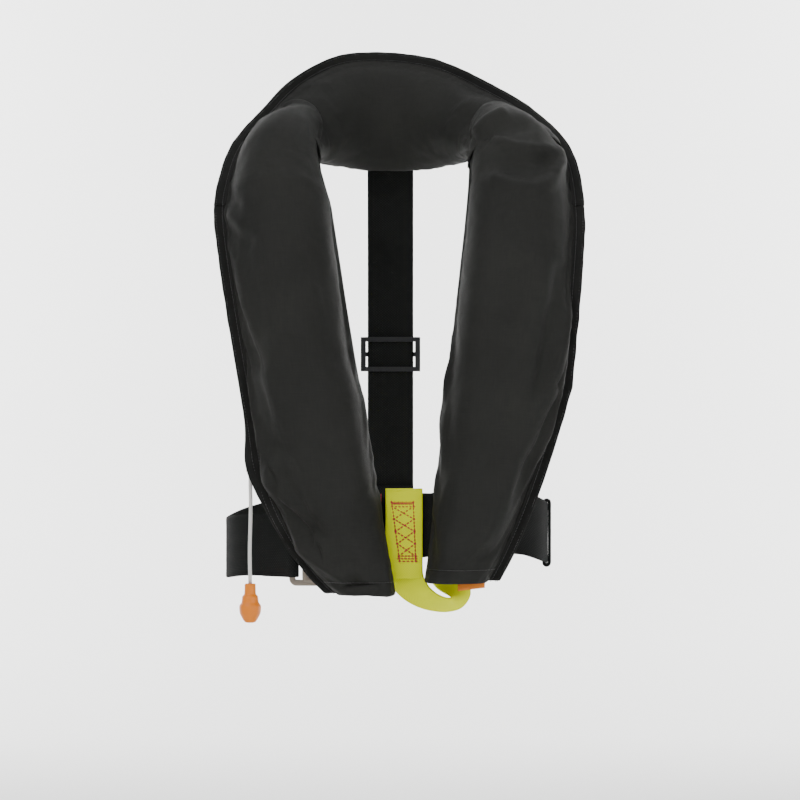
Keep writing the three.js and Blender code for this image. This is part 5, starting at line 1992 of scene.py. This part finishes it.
@dataclass
class Becket:
    """The lime lifting strap: its wrap over the belt, the turned loop and the red stitching."""

    x: float = 11.5
    width: float = 30.0
    thick: float = 2.0

    def build(self, paint: Paint, machine: StitchMachine, belt: WaistBelt) -> None:
        """Builds the becket."""
        middle = belt.at(belt.front_angle(self.x))
        lift = belt.thick / 2 + self.thick / 2 + 1.7
        top = middle[2] + belt.width / 2 + lift + 2
        belt_foot = middle[2] - belt.width / 2
        foot = belt_foot - 15.4
        back, front, half = middle[1] + lift, middle[1] - lift, mix(foot, top - 4, 0.5)
        line = [
            (back, foot), (back, half), (back, top - 4), (middle[1] + lift * 0.7, top - 1), (middle[1], top),
            (middle[1] - lift * 0.7, top - 1), (front, top - 4), (front, half), (front, foot),
        ]
        stations = [(point(self.x, y, z), ALONG_X) for y, z in line]
        Ribbon("becket_strap_wrap", stations, self.width, self.thick, steps=110, wave=0.35, seed=5.0).build(
            paint, "lime", "lime_webbing", stands_for=("becket_wrap",)
        )
        loop = []
        for (x0, z0), (x1, z1), y in LOOP_EDGES:
            depth = math.sqrt(max(0.0, self.width**2 - (x1 - x0) ** 2 - (z1 - z0) ** 2))
            loop.append((point((x0 + x1) / 2, y, (z0 + z1) / 2), point(x1 - x0, -depth, z1 - z0)))
        Ribbon(
            "becket_strap_loop", loop, self.width, self.thick, steps=130, wave=0.3, seed=8.0, square=False
        ).build(paint, "lime", "lime_webbing", stands_for=("becket_loop",))
        self._box_stitch(paint, machine, middle[1] - lift - self.thick / 2 - 0.12)

    def _box_stitch(self, paint: Paint, machine: StitchMachine, y: float) -> None:
        """The box of crosses with its double bars, in red thread on the wrap's front."""
        top, foot = -281.6, -328.6
        left, right = (1.6, 8.0), (18.9, 20.8)

        def spot(side: float, drop: float) -> Array:
            """A place in the box: side 0 left to 1 right, drop 0 top to 1 foot."""
            x = mix(mix(left[0], left[1], drop), mix(right[0], right[1], drop), side)
            return point(x, y, mix(top, foot, drop))

        lines = []
        for k in range(4):
            high, low = 0.08 + 0.84 * k / 4, 0.08 + 0.84 * (k + 1) / 4
            lines += [[spot(0, high), spot(1, low)], [spot(1, high), spot(0, low)]]
        lines += [[spot(0, 0), spot(0, 1)], [spot(1, 0), spot(1, 1)]]
        bars = ((0, 0.08), (0, 0.92), (-0.05, 0.965), (0, 1.01))
        lines += [[spot(start, drop), spot(1.03, drop)] for start, drop in bars]
        zigzag = [spot(-0.03 + 1.06 * k / 24, 0.045 * (k % 2)) for k in range(25)]
        parts = (
            machine.sew("becket_box_stitch", lines, "red_thread", 2.7, 2.6, 0.62, 7),
            machine.sew("becket_bar_tack", [zigzag], "red_thread", 1.0, 1.6, 0.5, 8),
        )
        for sewn in parts:
            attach(sewn, Body.JACKET.value)


@dataclass
class BackStrap:
    """The strap down the back, its belt loop and the adjusting slide."""

    width: float = 40.0
    thick: float = 2.0
    y: float = 117.2

    def build(self, paint: Paint, machine: StitchMachine, belt: WaistBelt) -> None:
        """Builds the strap, the loop and their stitching."""
        top = COLLAR_BACK + self.thick / 2 + 0.4
        line = [(top, 42), (top, 24), (top, 4), (mix(top, self.y, 0.2), -16), (mix(top, self.y, 0.75), -60)]
        line += [(self.y, z) for z in (-92, -200, -322)]
        strap = [(point(0, y, z), ALONG_X) for y, z in line]
        Ribbon("back_strap_webbing", strap, self.width, self.thick, steps=220, wave=0.12, seed=3.0).build(
            paint, "belt", "black_webbing", stands_for=("back_strap",)
        )
        middle = belt.at(-270)
        deep = belt.thick / 2 + belt.loop_thick / 2 + 0.4
        half = belt.width / 2 + belt.loop_thick / 2 + 2.5
        ring = [(point(0, middle[1] + a, middle[2] + z), ALONG_X) for a, z in belt_loop(deep, half)]
        Ribbon(
            "back_yoke_webbing", ring, self.width, belt.loop_thick, closed=True, steps=120, wave=0.1
        ).build(paint, "belt", "black_webbing", stands_for=("back_yoke_loop",))
        y = top + self.thick / 2 + 0.1
        box = [(-17, 8), (17, 8), (17, 38), (-17, 38), (-17, 8), (17, 38)]
        lines = [np.array([point(x, y, z) for x, z in box]), np.array([point(-17, y, 38), point(17, y, 8)])]
        sewn = machine.sew("back_strap_stitches", lines, "black_thread", 3.0, 2.5, 0.4, 8)
        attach(sewn, Body.JACKET.value)
        paint.dress_node("back_slide", "black", 0.5)


# ---- inflator, tube and whistle ----


@dataclass
class Inflator:
    """The gas cylinder and the firing head, under the right flap."""

    x: float = -68.0
    y: float = -128.5
    radius: float = 14.5
    neck_end: float = -240.5

    def build(self, paint: Paint) -> None:
        """Builds the cylinder and finishes the head's parts."""
        shoulder = self.neck_end + 14.5
        top = shoulder + 124.0
        foot = self.neck_end
        turns = np.linspace(0, math.pi / 2, 14)
        dome = [(self.radius * math.cos(t), top - self.radius + self.radius * math.sin(t)) for t in turns]
        threads = []
        for k in range(6):
            z = foot + 0.8 + k * 1.9
            threads += [(5.5, z), (5.95, z + 0.95)]
        profile = [(0.0, foot + 6.5), (3.0, foot + 6.5), (3.0, foot), (5.5, foot), *threads, (5.7, shoulder - 1.0)]
        slope = ((8.0, 1.0), (10.9, 3.4), (13.2, 6.6), (14.3, 9.4), (self.radius, 12))
        profile += [(r, shoulder + rise) for r, rise in slope] + dome
        flask = turned("gas_cylinder", profile, self.x, self.y)
        paint.dress(flask, "zinc")
        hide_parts("co2_cylinder", "cylinder_neck")
        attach(flask, Body.CYLINDER.value)
        for node, key, edge in (
            ("seal_washer", "rubber", 0.0),
            ("inflator_head", "black", 0.4),
            ("lever_pin", "steel", 0.2),
            ("firing_lever", "red", 0.5),
            ("piercing_pin", "steel", 0.1),
            ("valve_nut", "steel", 0.4),
            ("status_clip", "green", 0.6),
        ):
            paint.dress_node(node, key, edge)


@dataclass
class OralTube:
    """The breathing tube with its cap and valve, and the whistle on its lanyard."""

    def build(self, paint: Paint) -> None:
        """Finishes the tube's and whistle's parts."""
        for node, key, edge in (
            ("oral_tube", "black", 0.4),
            ("oral_valve_poppet", "red", 0.3),
            ("oral_dust_cap", "black", 0.5),
            ("whistle", "orange", 1.0),
            ("whistle_lanyard", "cord", 0.0),
        ):
            paint.dress_node(node, key, edge)


@dataclass
class PullCord:
    """The white firing cord and its orange toggle."""

    x: float = -110.5
    y: float = -116.5
    top: float = -257.3
    length: float = 88.0
    radius: float = 1.5
    toggle_radius: float = 8.7
    toggle_length: float = 31.0

    def route(self) -> list[Array]:
        """The cord's line from the lever to the toggle."""
        spots = [
            point(self.x, self.y, self.top),
            point(self.x + 0.4, self.y, self.top - self.length * 0.35),
            point(self.x - 0.3, self.y, self.top - self.length * 0.7),
            point(self.x, self.y, self.top - self.length),
        ]
        return along_curve(spots, 24)

    def build(self, paint: Paint) -> None:
        """Builds the braided cord and the moulded toggle."""
        line = self.route()
        rings = []
        for i, p in enumerate(line):
            along = unit(line[min(i + 1, len(line) - 1)] - line[max(i - 1, 0)])
            side = unit(np.cross(along, point(0, 1, 0)))
            back = np.cross(along, side)
            turn = np.linspace(0, 2 * math.pi, 14, endpoint=False)
            rings.append(p + self.radius * (np.outer(np.cos(turn), side) + np.outer(np.sin(turn), back)))
        cord = skin_rings("braided_pull_cord", rings)
        paint.dress(cord, "cord")
        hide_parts("pull_cord")
        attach(cord, Body.HANDLE.value)
        toggle = self._toggle()
        paint.dress(toggle, "orange")
        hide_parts("pull_toggle")
        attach(toggle, Body.HANDLE.value)

    def _toggle(self) -> Piece:
        """A pear-shaped grip with soft flats round its belly and a collar at its neck."""
        top = self.top - self.length - 0.3
        r = self.toggle_radius
        profile = [
            (0.01, 0.0), (0.46, 0.0), (0.51, 0.02), (0.52, 0.16), (0.54, 0.27), (0.73, 0.32), (0.77, 0.43),
            (0.79, 0.48), (1.0, 0.56), (1.0, 0.66), (0.95, 0.76), (0.66, 0.92), (0.48, 0.985), (0.28, 1.0),
            (0.01, 1.0),
        ]
        smooth = rounded([(a * r, b * self.toggle_length) for a, b in profile], 0.8, 4)
        sides = 72
        rings = []
        for radius, depth in smooth:
            belly = ease((depth / self.toggle_length - 0.35) / 0.25)
            ring = []
            for k in range(sides):
                a = 2 * math.pi * k / sides
                flat = 1 - 0.035 * belly * (1 - abs(math.cos(4 * a)))
                reach = radius * flat
                ring.append(point(self.x + reach * math.cos(a), self.y + reach * math.sin(a), top - depth))
            rings.append(np.array(ring))
        return skin_rings("pear_toggle", rings)


# ---- stage ----


@dataclass
class Studio:
    """Plain pale floor and backdrop, soft lights and the camera."""

    floor_z: float = -0.62
    lens: float = 129.6

    def camera(self) -> None:
        """The camera, level and square to the jacket's front."""
        data = bpy.data.cameras.new("Camera")
        data.lens, data.sensor_width = self.lens, 36.0
        data.clip_start, data.clip_end = 0.05, 50.0
        camera = bpy.data.objects.new("Camera", data)
        camera.location = (0.0083, -2.4, -0.2)
        camera.rotation_euler = (math.radians(90), 0, 0)
        link(camera)
        bpy.context.scene.camera = camera

    def build(self) -> None:
        """The sweep and the lights."""
        rings = []
        for y, z in [(-6.0, 0.0), (1.2, 0.0), (1.7, 0.08), (2.1, 0.32), (2.4, 0.8), (2.5, 1.4), (2.5, 5.0)]:
            rings.append([(x, y, self.floor_z + z) for x in (-6.0, 6.0)])
        verts = [p for ring in rings for p in ring]
        faces = [(2 * i, 2 * i + 1, 2 * i + 3, 2 * i + 2) for i in range(len(rings) - 1)]
        mesh = bpy.data.meshes.new("sweep")
        mesh.from_pydata(verts, [], faces)
        mesh.polygons.foreach_set("use_smooth", [True] * len(mesh.polygons))
        floor = bpy.data.objects.new("studio_sweep", mesh)
        link(floor)
        material = bpy.data.materials.new("pale_paper")
        material.use_nodes = True
        shader = material.node_tree.nodes["Principled BSDF"]
        shader.inputs["Base Color"].default_value = (0.86, 0.86, 0.85, 1.0)
        shader.inputs["Roughness"].default_value = 0.9
        mesh.materials.append(material)
        world = bpy.data.worlds.new("soft_room")
        world.use_nodes = True
        world.node_tree.nodes["Background"].inputs[0].default_value = (0.93, 0.95, 1.0, 1.0)
        world.node_tree.nodes["Background"].inputs[1].default_value = 0.45
        bpy.context.scene.world = world
        middle = (0.0, -0.05, -0.12)
        self._light("key_softbox", (-1.3, -2.0, 1.5), 1.5, 44.0, middle)
        self._light("fill_softbox", (1.7, -1.8, 0.4), 1.4, 22.0, middle)
        self._light("top_softbox", (0.1, 0.5, 1.9), 1.6, 10.0, middle)
        self._light("backdrop_right", (-1.7, 1.1, 0.9), 1.0, 130.0, (-1.3, 2.6, 0.1))
        self._light("backdrop_left", (1.7, 1.1, 0.9), 1.0, 130.0, (1.3, 2.6, 0.1))

    @staticmethod
    def _light(name: str, at: Place, size: float, power: float, towards: Place) -> None:
        """A square soft light aimed at a place."""
        data = bpy.data.lights.new(name, "AREA")
        data.size, data.energy = size, power
        light = bpy.data.objects.new(name, data)
        light.location = at
        aim = Vector(towards) - Vector(at)
        light.rotation_euler = aim.to_track_quat("-Z", "Y").to_euler()
        link(light)


def main() -> None:
    """Builds the whole jacket in order."""
    logging.basicConfig(level=logging.INFO, format="%(name)s: %(message)s")
    studio = Studio()
    studio.camera()
    paint = Paint()
    machine = StitchMachine(paint)
    piles = PileMaker(paint)
    PullCord().build(paint)
    covers = Covers()
    covers.build(paint)
    EdgeBands().build(paint, machine, covers)
    BackPanels().build(paint, machine)
    ClosureTapes().build(paint, piles)
    FoldedBladder().build(paint)
    belt = WaistBelt()
    belt.build(paint, machine)
    Becket().build(paint, machine, belt)
    BackStrap().build(paint, machine, belt)
    Inflator().build(paint)
    OralTube().build(paint)
    studio.build()


if __name__ == "__main__":
    main()
